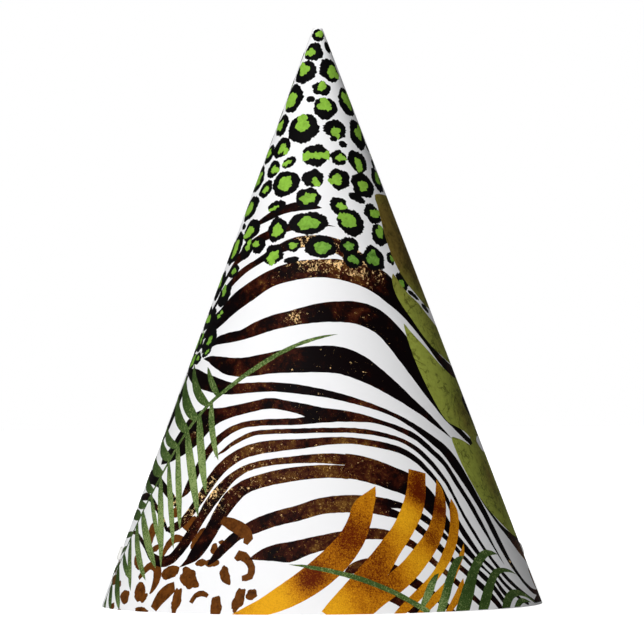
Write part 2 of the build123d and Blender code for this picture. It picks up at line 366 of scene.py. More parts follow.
# Rosettes: (x, y, half width, half height, tilt, way the ring is open, how far, lime's share).
ROSETTES = [
    (0.2, 6.6, 2, 2, 0, 50, 0.35, 0.62), (-1.3, 12, 2.8, 3.1, 0, 180, 0.3, 0.5),
    (-4.3, 18.2, 3.7, 3.8, 20, 115, 0.25, 0.52), (4, 17.8, 3.6, 3.7, 0, -20, 0.3, 0.6),
    (-8.7, 25.8, 3.8, 4.8, 0, 190, 0.28, 0.66), (1.1, 24.3, 2.7, 2.3, 0, 75, 0.3, 0.55),
    (10.5, 26.5, 4, 4.6, 0, 60, 0.28, 0.7), (2.2, 30.8, 3.7, 3.4, 0, 100, 0.35, 0.6),
    (-13.2, 33.5, 3.3, 3.6, 0, 160, 0.2, 0.5), (-4.8, 37.2, 4.9, 4.6, 0, 92, 0.32, 0.48),
    (5.3, 37.4, 3.6, 3.1, 0, -85, 0.3, 0.5), (14.3, 36.5, 4.1, 5, 0, 55, 0.2, 0.5),
    (-18.5, 41.3, 3.2, 3, 0, 130, 0.3, 0.55), (-12.3, 41.7, 3.2, 3.5, 35, -40, 0.2, 0.5),
    (-0.8, 46.3, 3.7, 3.7, 0, 0, 0, 0.3), (6.2, 46.7, 2.4, 2.5, 0, 0, 0.2, 0.5),
    (13, 46.3, 3.8, 3.5, 0, -80, 0.2, 0.48), (-15.3, 48, 2.7, 2.8, 0, -30, 0.2, 0.5),
    (-9.2, 47.5, 2.5, 1.7, -20, 190, 0.25, 0.55), (-24, 47.5, 4.6, 4.2, 30, 150, 0.1, 0.66),
    (22.3, 49, 3.6, 4, -30, 60, 0.2, 0.55), (-18.2, 53.8, 2.8, 2.8, 0, -80, 0.1, 0.5),
    (-10.4, 54.4, 4.4, 4.3, 0, 140, 0.05, 0.6), (-1.7, 53.8, 3.2, 2.8, 0, -60, 0.55, 0.4),
    (6.3, 53.8, 3.4, 3.3, 0, 200, 0.28, 0.55), (14.5, 54, 4.3, 4.1, 0, -90, 0.1, 0.5),
    (-26, 57, 4.8, 4, 10, 170, 0.2, 0.6), (-3.2, 60.3, 3.8, 3.3, 0, 0, 0, 0.64),
    (-13.2, 61.3, 3.2, 1.9, 0, 200, 0.2, 0.4), (5.9, 62.4, 2.6, 2.7, 0, -10, 0.3, 0.5),
    (17.7, 62.8, 3.4, 2.9, 0, 30, 0.25, 0.55), (9.8, 67.5, 4.2, 4.2, 0, 150, 0.22, 0.6),
    (-3.2, 68.3, 5.8, 3.5, 0, 0, 0, 0.62), (-13, 69, 3.1, 3.9, 0, -90, 0.12, 0.62),
    (-23.4, 66, 3.8, 3.6, 0, 195, 0.25, 0.56), (19.8, 69.3, 3.1, 3.4, 0, 75, 0.3, 0.55),
    (-32, 68.5, 4.3, 5.3, 25, 160, 0.15, 0.62), (-24.8, 72.2, 2.8, 3.2, 30, 60, 0.3, 0.4),
    (-19.7, 72.4, 2.5, 2.9, -30, 150, 0.45, 0.4), (-14.2, 77, 3.3, 3.2, 0, -100, 0.25, 0.62),
    (-7.8, 75, 2.3, 2, 0, 0, 0, 0.62), (0.5, 76, 4.5, 3.6, 0, -40, 0.15, 0.6),
    (9, 75.2, 3, 2.8, 0, 0, 0, 0.58), (10.3, 79.4, 3.1, 2.9, 0, 0, 0, 0.55),
    (17.2, 77.8, 3.7, 4, 0, 180, 0.15, 0.66), (23.8, 75.8, 1.8, 2, 0, 0, 0.4, 0.5),
    (-30.5, 77.3, 2.9, 2.2, 20, 0, 0, 0.5), (28.3, 82.2, 2.8, 3, 0, -120, 0.4, 0.5),
    (-34.6, 84, 3.7, 3.7, 0, 100, 0.4, 0.35), (-36.4, 90.6, 2.8, 1.9, 20, 30, 0.2, 0.45),
    (-40.6, 77.4, 4.6, 4.8, 25, 110, 0.35, 0.42), (-43.4, 88.2, 5, 3.6, 15, 140, 0.2, 0.42),
    (-40, 97.4, 4.3, 3.2, 0, -20, 0.1, 0.42), (-40.5, 101, 2.6, 1.6, 0, 0, 0.1, 0.45),
    (-50.5, 93, 4.2, 3.4, 35, 150, 0.2, 0.6), (-52, 99.5, 4, 3, 35, 20, 0.2, 0.6),
    (-46.5, 100.6, 2.8, 2, 35, 0, 0.1, 0.5), (-47.2, 94.6, 2.6, 3.6, -35, 60, 0.3, 0.4),
    (-37.4, 66.8, 3.2, 4.6, -30, 100, 0.3, 0.4),
]
# Plain dots: (x, y, half width, half height, tilt).
DOTS = [
    (3.3, 10, 1, 2.1, -20), (-2.2, 27.8, 1.4, 1, 10), (4.7, 40.7, 1.2, 0.9, 0), (7.7, 42, 1.4, 1.1, 0),
    (19.8, 38.5, 1.4, 1.2, 0), (21.6, 43.3, 1.2, 1.9, 20), (12, 59, 2.9, 1.4, 15),
    (17.3, 59.9, 1, 0.7, 0), (-8.4, 79.7, 2.3, 1.1, 0), (33.5, 84.8, 3, 0.9, 6),
    (40.5, 86.2, 2.6, 1.2, 0), (-45.6, 83.6, 2.6, 1.3, 30), (-38.6, 93.6, 2.2, 1.1, 20),
    (-28.4, 62.4, 1.8, 1, 40),
]

OLIVE_MIDDLE = 38.0  # where the big leaf's rib lies on the flat blank, in degrees
OLIVE_HALF = [
    (33.2, 42.6), (31, 49.6), (26, 52.5), (19.3, 55.6), (20, 59), (21, 63.5), (22.3, 69), (24.2, 74),
    (27, 78.5), (31, 82), (36, 84), (41, 85), (45.5, 83.8), (50, 81.5), (54, 80.5), (55, 83.5),
    (51.5, 87), (47, 88.6), (41, 88.4), (36, 86.7), (31, 85.5), (27.5, 83.6), (24.3, 80.8), (23.8, 84),
    (24.8, 87.5), (27.5, 91), (31, 94), (34.5, 97), (38.5, 99.3), (42, 100.4), (47, 100.6), (52, 99.8),
    (58, 97.4), (63.5, 95), (64.5, 97.5), (59, 101.5), (54, 104.4), (50, 105.2), (45, 105), (41, 103.9),
    (37, 102.1), (33, 100.2), (29.5, 98.2), (27.3, 96.6), (28, 100), (29.5, 104.5), (31.5, 109),
    (34, 113.5), (37, 118), (40, 121.8), (43, 124.2), (47, 124.4), (52, 124.2), (55.5, 124.9),
    (56.6, 126.4), (55, 127.8), (50, 128.1), (46.5, 128.5), (44.2, 129.2), (45.2, 132), (47, 135.5),
    (49.5, 139), (52, 142), (55, 145), (59, 147.6), (64, 149.2), (70, 150), (76, 149.6), (82, 147.5),
    (88, 145), (97, 141), (105.9, 135.5),
]
OLIVE_FAR_HALF = [  # drawn as the near half is, and mirrored about the rib
    (33.2, 42.6), (28, 46.4), (21, 50), (16.8, 55.5), (16.6, 62), (19.5, 67.6), (25, 70.8), (32, 72),
    (40, 71.4), (47, 70.2), (48, 72.4), (41, 75.6), (33, 77.4), (25.5, 79.4), (21.6, 84.5), (22.4, 92),
    (26.4, 98), (33, 101), (41.5, 101.6), (50, 100), (58.6, 96.6), (60, 99), (52, 104.4), (43, 107.4),
    (35.6, 109.4), (31.6, 114), (34, 121.4), (40, 127), (48.6, 129.8), (58, 129), (67.4, 125.6),
    (75, 120.6), (76.6, 123.2), (69.4, 130), (61, 134.6), (53.6, 138.4), (55.6, 143.4), (62, 147.6),
    (70.6, 150), (80, 149.6), (90, 146), (98, 141.4), (105.9, 135.5),
]
OLIVE_HOLES = [
    (FOIL, [(56.3, 111.5), (58.5, 108.6), (62, 108.6), (64.2, 111.2), (62.5, 114), (59, 114.2)]),
    (
        COAT,
        [(61.3, 123.6), (63.8, 120.4), (68, 118.4), (72.5, 117.6), (73.5, 120.2), (69.5, 123), (65, 124.8)],
    ),
]

# Leopard spots: (x, y, half width, half height, tilt), and bent ones as short bands.
SPOTS = [
    (-61.6, 173.4, 2.2, 3, -15), (-59.3, 176, 1.6, 1.2, 0), (-70, 172.2, 2.6, 1.9, 35),
    (-64.8, 162.3, 1.5, 3.4, -38), (-58.9, 155.2, 1.8, 3.2, 0), (-56, 161.2, 3, 1, -6),
    (-48.2, 152, 2, 1.5, 0), (-48.4, 171, 3.2, 1.8, 0), (-45.3, 180.6, 1.6, 3.4, 12),
    (-41, 174.6, 2.2, 3.7, -38), (-31.5, 185.2, 1.6, 3.1, 0), (-28.6, 176, 1.3, 2.8, -18),
    (-24.4, 184, 1.5, 3.3, 22), (-20.4, 182.8, 1.4, 1.5, 0), (-32.5, 167, 1, 1.5, 0),
    (-30, 165.5, 0.8, 0.7, 0), (-38, 163, 1.6, 3.4, 40), (-41.6, 157.3, 2.4, 2, 0),
    (-36.8, 170.6, 1.7, 1, 10), (-33, 171.4, 2.2, 1.1, 5), (-60, 179.8, 3, 0.8, 20),
    (-76, 165.8, 1.6, 1.1, 40), (-83, 161, 3.4, 1.5, 35), (-70.5, 163.5, 1.6, 1.2, 0),
    (-78, 172.5, 1.6, 1.1, 40), (-72.5, 176.4, 1.8, 1, 30), (-53.2, 185, 2, 1, 0),
    (-18, 188.6, 2, 0.8, 0),
]
BENT_SPOTS = [
    [
        (-63, 168.6, 1.8), (-60.5, 167, 2.8), (-57.5, 166.2, 2.6), (-54.5, 167.8, 3.2), (-53.8, 171, 3.6),
        (-55, 174, 2.4), (-56.6, 175.6, 0.6),
    ],
    [(-52.3, 164.8, 1.6), (-50, 161.8, 2.8), (-47, 160.6, 2.8), (-43.5, 162, 1.4)],
    [(-54.4, 181, 3.4), (-51.5, 178, 4.8), (-48.6, 176.6, 4.6), (-46.2, 176, 3.2)],
    [(-40, 182.4, 1.6), (-38.4, 180.5, 1.8), (-36, 180.2, 1.8), (-34.2, 181.4, 1.2)],
    [
        (-25.4, 171.6, 1.6), (-24, 170.4, 3.4), (-21.8, 172, 2.4), (-20.4, 174.6, 2.2), (-21, 177.2, 2.4),
        (-23.4, 177.6, 1.6),
    ],
]
OVER_SPOTS = [
    [(-30, 158.6, 2.4), (-27, 160.3, 3.6), (-23.6, 162.6, 4), (-21.4, 165.6, 3), (-22.4, 167.2, 1.6)],
]

# The palm frond: its stem, then leaflets (base x, y, tip x, y, bow, width).
PALM_STEM = [
    (5.5, 103.7, 0), (0, 104.9, 0.9), (-6, 106.7, 1.2), (-12, 109.1, 1.4), (-18, 111.9, 1.5),
    (-24, 114.6, 1.5), (-30, 117.3, 1.4), (-36, 119.9, 1.3), (-42, 123.2, 1.3), (-48, 127.3, 1.3),
    (-54, 132.4, 1.3), (-60, 137.6, 1.3), (-66, 142.6, 1.2), (-72, 147.9, 1.2), (-78, 153.6, 1.1),
    (-84, 160.2, 1), (-90, 168, 1),
]
PALM_BLADES = [
    (-35.5, 120, -31.8, 139.5, 1.6, 2.5), (-40.6, 122.6, -35.8, 149.5, 0.4, 3.4),
    (-46, 126, -38.4, 156, -0.6, 3.6), (-50.2, 129.4, -45.4, 158.5, -0.8, 3.1),
    (-54.6, 133, -47.6, 164, -1.2, 2.8), (-58.6, 136.5, -52.5, 168.5, -1.8, 3.3),
    (-63.4, 140.5, -53, 163, -0.8, 2.2), (-68, 144.6, -54.8, 168, -0.4, 3.6),
    (-71, 147.2, -59.2, 170.5, 1.2, 3.2), (-74.6, 150.6, -66.8, 171.5, -0.5, 2.8),
    (-78.4, 154.2, -67.5, 167.4, 0.8, 2.6), (-81.5, 157.5, -72.2, 175.6, 0.3, 3.8),
    (-85, 161.5, -79, 173, 0.4, 3.2), (-88, 165, -84, 174, 0.3, 2.6),
    (-32.8, 118.4, -38.8, 106.8, -0.8, 2.4), (-37, 120.2, -48.4, 101.4, -3.4, 3.5),
    (-42, 123, -55.5, 101.6, -3.2, 4.5), (-46, 125.8, -60.5, 105, -3, 4.2),
    (-50.5, 129.3, -65, 114.5, -3, 3.1), (-54, 132, -68, 117, -2.6, 3.7),
    (-58, 135.6, -73, 121, -2.6, 3.9), (-62.5, 139.6, -77, 126, -2.2, 3.1),
    (-66.5, 143, -81, 132.5, -1.8, 2.9), (-69.5, 145.6, -84, 137, 0.6, 3.8),
    (-73.5, 149.4, -87, 143, -0.6, 2.4), (-77, 152.6, -92, 148.6, -0.4, 2.6),
    (-80.5, 156.4, -95, 154.6, -0.4, 2.6),
]
LOW_STEM = [
    (-9.5, 174.6, 0), (-4, 175.5, 1), (4, 177.2, 1.4), (12, 179.3, 1.6), (20, 182, 1.6), (26, 184.5, 1.6),
    (32, 187.2, 1.8),
]
LOW_FROND = [
    [(29.6, 186, 1.2), (31.6, 182, 2.4), (33.2, 178.4, 2.2), (34.6, 175.8, 1.2), (35.6, 174.6, 0)],
    [(35.5, 187, 2.4), (37.3, 182, 2.8), (39, 177, 2.7), (41, 172, 2.6), (43, 169, 2), (45.2, 167.2, 0)],
    [
        (42.6, 187, 4.4), (44.8, 181, 4.4), (46.8, 176, 4), (48.6, 171.5, 3.4), (51.4, 167, 3),
        (54.6, 164, 2.2), (58, 162.7, 1.2), (61, 162.3, 0),
    ],
    [
        (50, 186, 3), (52.4, 180, 3.6), (54.4, 175.6, 3.4), (56.6, 171.6, 2.8), (59, 168.8, 2.2),
        (62.4, 166.9, 1.4), (66.5, 165.8, 0.9), (71, 165.4, 0),
    ],
    [
        (60.6, 182, 3), (62.8, 177, 3.2), (65.8, 173.8, 2.6), (70, 171.8, 1.8), (76, 170.8, 1),
        (83, 170.4, 0),
    ],
    [(66, 180, 2), (69, 175.6, 2), (72.6, 173.4, 1.4), (78, 172, 0)],
]

# The gold leaf's blades, each a line of stations (x, y, thickness).
GOLD_BLADES = [
    [
        (16, 150.4, 0), (14.6, 153.4, 3.2), (12.3, 157.4, 6.2), (11, 162, 6.7), (8.6, 167.4, 7.4),
        (4.9, 172.3, 8.2), (0.4, 176.8, 8.6), (-4.9, 180.9, 8.3), (-11, 184.4, 7.4), (-17, 186.9, 5.4),
        (-22.4, 188.2, 3.4), (-26.4, 188.6, 1),
    ],
    [
        (29.5, 143.8, 5.8), (29.3, 147, 6), (28.7, 152, 6.5), (26.9, 157.5, 6.5), (23.9, 163.5, 6.2),
        (20.6, 168.5, 6.4), (17.4, 173.5, 7.2), (13.8, 178.6, 8.2), (10.3, 183.5, 9), (6.6, 188.6, 10),
        (4.2, 192, 10.4),
    ],
    [
        (36.3, 145, 0), (37, 147.5, 2.2), (37.4, 151, 3.9), (36.9, 155.6, 4.5), (35.6, 160.4, 5),
        (33.2, 165.2, 5.4), (29.9, 170, 5.8), (26, 175, 6), (21.4, 179.6, 6.2), (15.8, 184.4, 6),
        (10.8, 189.4, 5.6),
    ],
    [
        (41.5, 149.8, 0), (42.2, 153, 3), (42.4, 156.4, 3.4), (41.8, 160.6, 3.4), (40.4, 165, 3.4),
        (38.2, 169.6, 3.2), (35.4, 174.2, 2.6), (32, 178.6, 2.6), (28, 183, 2.8), (23.4, 187.8, 2.6),
        (21, 190.5, 2),
    ],
    [
        (45.3, 163.3, 0), (44.8, 166, 1.4), (43.4, 169, 1.6), (41.4, 173, 1.8), (39, 177, 2.2),
        (35.6, 181, 2.5), (31, 186, 2.4), (28.5, 189, 2),
    ],
    [(44.3, 174.4, 0), (43.6, 177, 1.8), (42.3, 180, 2.3), (40, 183.6, 2), (37.2, 187.5, 1)],
]
BARE_RIM = [(20, 189.4, 0.3), (45, 184.8, 0.7), (70, 176.7, 0.7), (99, 162.2, 0.5)]

# Where the stripes are worn to brown, and where they carry gold flecks.
STRIPE_TONE = [
    (10, 82, 12, 0.34), (-14, 86, 9, 0.14), (-24, 92, 9, 0), (-38, 92, 12, -0.3), (27, 92, 10, -0.6),
    (-12, 99, 8, 0.06), (3, 99, 5, -0.4), (13, 99, 6, 0.16), (26, 106, 12, -0.5), (36, 118, 12, -0.6),
    (-20, 112, 12, 0.14), (7, 113, 8, -0.34), (-44, 112, 10, -0.3), (0, 123, 13, -0.22),
    (16, 125, 5, 0.1), (12, 133, 10, 0.3), (-18, 136, 12, 0.3), (-46, 128, 12, -0.1), (48, 132, 16, -0.6),
    (8, 147, 12, 0.38), (-14, 148, 13, 0.34), (-34, 152, 12, 0.1), (30, 148, 9, -0.2), (22, 155, 5, -0.4),
    (46, 155, 14, -0.5), (66, 168, 16, -0.35), (-4, 158, 12, 0.1), (12, 157, 9, 0.2), (2, 169, 12, 0.35),
    (-40, 166, 10, -0.1), (24, 168, 10, 0.25), (38, 176, 10, 0.2), (-12, 171, 7, -0.1),
    (-60, 112, 10, -0.4), (-62, 138, 10, -0.3), (82, 154, 9, 0.8), (82, 146, 7, -0.6),
]
STRIPE_FLECKS = [
    (4, 80, 9, 0.5), (13, 81, 7, 0.36), (20, 85, 6, 0.3), (-9, 82, 9, 0.2), (-36, 90, 12, -0.25),
    (30, 94, 9, -0.3), (-7, 98, 4.5, 0.75), (13, 98, 6, 0.3), (8, 112, 12, 0.25), (-24, 114, 10, -0.1),
    (38, 118, 13, -0.2), (-34, 149, 12, 0.42), (-45, 151, 9, 0.3), (-20, 142, 12, 0.3),
    (-55, 150, 8, 0.4), (-50, 166, 8, 0.3), (6, 130, 14, 0.15), (0, 146, 14, 0.2), (52, 142, 14, -0.2),
    (66, 163, 5, 0.4), (22, 160, 9, 0.2), (-4, 160, 12, 0.15), (34, 172, 9, 0.3), (-46, 128, 9, 0.2),
    (-4, 74, 6, 0.5), (10, 77, 5, 0.5), (80, 154, 9, 0.35),
]
GOLD_TONE = [
    (13, 155, 5, 0), (9, 165, 6.5, -0.34), (5, 172, 6, -0.1), (-3, 179.5, 5.5, -0.5), (-15, 186, 9, 0.4),
    (29, 146, 4, -0.25), (29, 151, 4, -0.45), (26, 158, 6, 0.3), (18, 172, 7, -0.12), (14, 178, 6, -0.2),
    (10, 184, 5, -0.08), (3, 187, 6, 0.35), (37, 154, 5, -0.4), (33.5, 164, 4.5, -0.3), (28, 172, 7, 0.2),
    (22, 180, 5, -0.15), (43, 155, 5, 0.1), (40, 166, 5, 0.05), (36, 176, 6, 0.2),
]
PALM_TONE = [
    (-52, 112, 15, -0.35), (-76, 132, 14, -0.4), (-84, 150, 12, -0.35), (-81, 164, 8, -0.4),
    (-40, 140, 12, 0.34), (-54, 154, 11, 0.24), (-66, 162, 9, 0.1), (-10, 108, 14, 0),
    (40, 178, 14, -0.22), (58, 174, 12, -0.26), (33, 183, 5, 0.5), (10, 179, 10, -0.15),
]
LIME_TONE = [
    (2, 75, 8, -0.55), (19, 76, 9, -0.65), (10, 79, 8, -0.5), (-4, 68, 5, -0.2), (-30, 82, 11, -0.45),
    (-44, 96, 13, -0.6), (-6, 61, 5, -0.2), (24, 50, 7, -0.4), (30, 82, 8, -0.3), (-26, 50, 8, -0.3),
]
# the big leaf's tone patches are partly painted shade: they darken it towards the hat's right side, away
# from the light
OLIVE_TONE_AND_SHADE = [
    (30, 64, 17, -0.26), (44, 72, 16, -0.26), (30, 90, 9, 0.1), (46, 96, 12, -0.15), (36, 110, 12, 0.2),
    (54, 118, 9, -0.25), (66, 108, 10, -0.5), (52, 134, 10, 0.1), (66, 136, 9, -0.35),
    (84, 132, 18, -0.1),
]
OLIVE_BROWN = [
    (30, 64, 18, 0.8), (46, 96, 8, 0.15), (55, 118, 8, 0.35), (66, 134, 9, 0.3), (60, 70, 20, 0.3),
]

# ---- Laying the print out ----------------------------------------------------------------------
FRONT = 31.5  # the front of the hat is this far either side of the middle line, in degrees
SEAM = 63.0  # the back seam
GOLD_TURN = -52  # from the front's gold leaf to its copy on the back
GOLD_COPY_EDGE = -20  # gold leaf beyond this angle belongs to the copy

# Where the palm frond lies: (turn from its place on the front, least angle, greatest angle).
PALM_PLACES = ((0, -90, 90), (-35, -90, -FRONT), (88, FRONT, SEAM))
LOW_FROND_TURNS = (0, 33, -78)

# A side rib of the big leaf: (share of the way out, drop, width). And its middle rib: (reach, width).
SIDE_RIB = ((0, 0, 0.9), (0.33, 3.5, 0.7), (0.67, 8.5, 0.45), (1, 15, 0.1))
MIDDLE_RIB = ((55, 2.2), (90, 1.5), (125, 1.1), (165, 0.2))

CUT_IN_TWO = 0.35  # a rosette with less lime than this is a ring that a lime bar cuts in two
OPEN_RING = 0.2  # a ring whose middle lies at least this far off is open on that side
ROSETTE_STEP = 0.42  # between the points of a rosette's ragged edge, in millimetres
ROSETTE_TRIES = 9000
ROSETTE_LOWEST = 78  # how far from the point the back's scattered rosettes come
ROSETTE_DROP = {-1: 58, 1: 6}  # how much further they come beside the front, at its left and right
ROSETTE_FADE = 16  # degrees over which that dies away
SPOT_TRIES = 2500


def rosette(x, y, wide, high, tilt, way, far, share, seed):
    """A dark ring round a lime middle, which breaks out where the ring is open or cut in two."""
    shapes = [(RING, blob(x, y, wide * 1.03, high * 1.03, tilt, 0.3, seed, ROSETTE_STEP, 0.06))]
    across, down = cos(radians(way)), -sin(radians(way))
    if share < CUT_IN_TWO:
        bar = [
            (x + across * wide * k, y + down * high * k, high * (0.5 + 0.2 * abs(k)))
            for k in (-1.1, 0, 1.1)
        ]
        return shapes + [(LIME, band(bar, 0.5, 0.5, seed))]
    middle = (x + 0.7 * far * wide * across, y + 0.7 * far * high * down)
    sizes = (wide * share * 0.9, high * share * 0.9)
    shapes.append((LIME, blob(*middle, *sizes, tilt, 0.35, seed + 99, ROSETTE_STEP, 0.16)))
    if far >= OPEN_RING:
        mouth = (x + 0.74 * wide * across, y + 0.74 * high * down)
        sizes = (wide * 0.33, high * 0.33)
        shapes.append((LIME, blob(*mouth, *sizes, tilt, 0.25, seed + 50, ROSETTE_STEP, 0.14)))
    return shapes


def scattered_rosettes(seed=5):
    """Rosettes thrown at random on the back, where there is room for them between the others."""
    draw = random.Random(seed)
    taken = [(x, y, (wide + high) / 2) for x, y, wide, high, *rest in ROSETTES]
    made = []
    for _ in range(ROSETTE_TRIES):
        side = draw.choice((-1, 1))
        angle = radians(side * draw.uniform(FRONT - 1, SEAM - 0.5))
        past_side = abs(degrees(angle)) - FRONT
        lowest = ROSETTE_LOWEST + ROSETTE_DROP[side] * max(0.0, 1 - past_side / ROSETTE_FADE)
        reach = sqrt(draw.uniform(100.0, lowest * lowest))
        if reach > 110 and past_side < 2:
            continue
        x, y = reach * sin(angle), reach * cos(angle)
        size = min(4.6, 2.1 + 0.035 * reach) * draw.uniform(0.72, 1.12)
        if all(hypot(x - a, y - b) > 1.06 * (size + c) + 0.35 for a, b, c in taken):
            taken.append((x, y, size))
            high = size * draw.uniform(0.85, 1.12)
            share = draw.uniform(0.5, 0.66)
            made.append((x, y, size, high, draw.uniform(0, 90), draw.uniform(0, 360), 0.25, share))
    return made


def scattered_spots(seed=8):
    """Leopard spots thrown at random near the rim of the back."""
    draw = random.Random(seed)
    taken = []
    made = []
    for _ in range(SPOT_TRIES):
        angle = radians(draw.choice((-1, 1)) * draw.uniform(FRONT, SEAM))
        x, y = draw.uniform(158, 189) * sin(angle), draw.uniform(158, 189) * cos(angle)
        if degrees(angle) > 40 and hypot(x, y) < 178:
            continue
        wide, high = draw.uniform(1.2, 2.2), draw.uniform(1.8, 3.6)
        if all(hypot(x - a, y - b) > high + c + 1.2 for a, b, c in taken):
            taken.append((x, y, high))
            made.append((x, y, wide, high, draw.uniform(-60, 60)))
    return made


def leaf_ribs():
    """The big leaf's middle rib, and the side ribs that curve from it to the lobes."""

    def at(reach, angle, wide):
        return reach * sin(radians(angle)), reach * cos(radians(angle)), wide

    middle = [at(reach, OLIVE_MIDDLE, wide) for reach, wide in MIDDLE_RIB]
    ribs = [band(middle, 0.05, 2)]
    for i in range(13):
        side = -1 if i % 2 else 1
        start = 62 + 7.6 * i
        away = 15 - 0.5 * i
        bow = [at(start + drop, OLIVE_MIDDLE + side * away * share, wide) for share, drop, wide in SIDE_RIB]
        ribs.append(band(bow, 0.04, 1.6, i))
    return ribs


def all_shapes():
    """Every shape of the print in painting order: (ink, outline, least angle, greatest angle)."""
    shapes = []

    def paint(colour, outline, low=-90.0, high=90.0):
        shapes.append((colour, outline, low, high))

    def paint_rosettes(rosettes, first_seed):
        for i, spot in enumerate(rosettes):
            for colour, outline in rosette(*spot, first_seed + i):
                paint(colour, outline)

    for i, (x, y, wide, high, tilt) in enumerate(SPOTS + scattered_spots()):
        paint(SPOT, blob(x, y, 1.18 * wide, 1.15 * high, tilt, 0.18, i, 0.6, 0.1))
    for spot in BENT_SPOTS:
        paint(SPOT, band(spot, seed=4))
    for i, stripe in enumerate(ZEBRA):
        outline = band(stripe, seed=i)
        paint(FOIL, outline, -FRONT, FRONT)
        # the stripes turn back where they cross the sides, as they do along an animal's flank
        paint(FOIL, mirrored(outline, -FRONT), -90, -FRONT)
        paint(FOIL, mirrored(outline, FRONT), FRONT, 90)
    for spot in OVER_SPOTS:
        paint(SPOT, band(spot, seed=4))
    paint_rosettes(scattered_rosettes(), 300)
    paint_rosettes(ROSETTES, 1)
    for dot in DOTS:
        paint(RING, blob(*dot, 0.2, 3, 0.45))

    far_half = mirrored(OLIVE_FAR_HALF, OLIVE_MIDDLE)[::-1]
    paint(OLIVE, smooth_outline(OLIVE_HALF[:-1] + far_half[:-1]))
    for colour, hole in OLIVE_HOLES:
        paint(colour, smooth_outline(hole))
    for rib in leaf_ribs():
        paint(RIB, rib, FRONT, 90)

    for turn, low, high in PALM_PLACES:
        for i, leaflet in enumerate(PALM_BLADES):
            paint(PALM, turned(blade(*leaflet, seed=i), turn), low, high)
        paint(PALM, turned(band(PALM_STEM, seed=2), turn), low, high)
    for turn in (0, GOLD_TURN):
        for i, leaflet in enumerate(GOLD_BLADES):
            paint(GOLD, turned(band(leaflet, rough=0.03, seed=i), turn))
    for turn in LOW_FROND_TURNS:
        for i, leaflet in enumerate(LOW_FROND):
            paint(PALM, turned(band(leaflet, seed=i), turn))
        paint(PALM, turned(band(LOW_STEM, seed=3), turn))
    paint(COAT, band(BARE_RIM, rough=0.02, step=3))
    return shapes


# ---- How the inks vary ---------------------------------------------------------------------------
# Each ink's base value, and the soft patches (x, y, radius, amount) that are added to it.
TONES = {
    FOIL: (0.36, STRIPE_TONE),
    LIME: (0.9, LIME_TONE),
    GOLD: (0.57, GOLD_TONE),
    PALM: (0.42, PALM_TONE),
    # the big leaf's patches hold painted shade towards the hat's right side besides its own tone
    OLIVE: (0.84, OLIVE_TONE_AND_SHADE),
}
FLECKS = {FOIL: (0.36, STRIPE_FLECKS), OLIVE: (0.2, OLIVE_BROWN)}
PATCH_END = 6  # past this many squared radii a patch adds nothing worth having


def patchy(varies, x, y):
    """A base value with soft round patches added to it, kept between 0 and 1."""
    base, patches = varies
    for at_x, at_y, radius, amount in patches:
        apart = ((x - at_x) ** 2 + (y - at_y) ** 2) / (radius * radius)
        if apart < PATCH_END:
            base += amount * exp(-apart)
    return min(max(base, 0.0), 1.0)


def front_place(colour, x, y):
    """The place on the front that a place on the back copies, so that its ink varies alike."""
    angle = degrees(atan2(x, y))
    if colour == GOLD and angle < GOLD_COPY_EDGE:
        return turned([(x, y)], -GOLD_TURN)[0][:2]
    if abs(angle) <= FRONT:
        return x, y
    return mirrored([(x, y)], FRONT if angle > 0 else -FRONT)[0][:2]


def ink_varies(colour, x, y):
    """The tone and the flecks of an ink at a place on the blank."""
    x, y = front_place(colour, x, y)
    tone = patchy(TONES[colour], x, y) if colour in TONES else 0.5
    fleck = patchy(FLECKS[colour], x, y) if colour in FLECKS else 0.0
    return tone, fleck


# ---- Cutting the blank out ---------------------------------------------------------------------
RING_STEP = 5.2  # between the creases along which the blank is divided, in millimetres
WRAP_STEP = 2.0  # between the lines from the point to the rim, in degrees round the hat
RAMP_LINES = 6  # lines over the stretch that steps in under the lap
SLACK = 1e-5  # points of the blank nearer than this are the same, in millimetres
HOLE_CORNERS = 40  # of the outline of an eyelet's hole
MAP_EDGE = 2  # clear border of the texture map, in millimetres of the blank
INSIDE_ON_MAP = 0.43  # how high the inside's point lies on the texture map
HOLE_MARGIN = 0.8  # no crease of the inside ends nearer to a hole than this, in millimetres


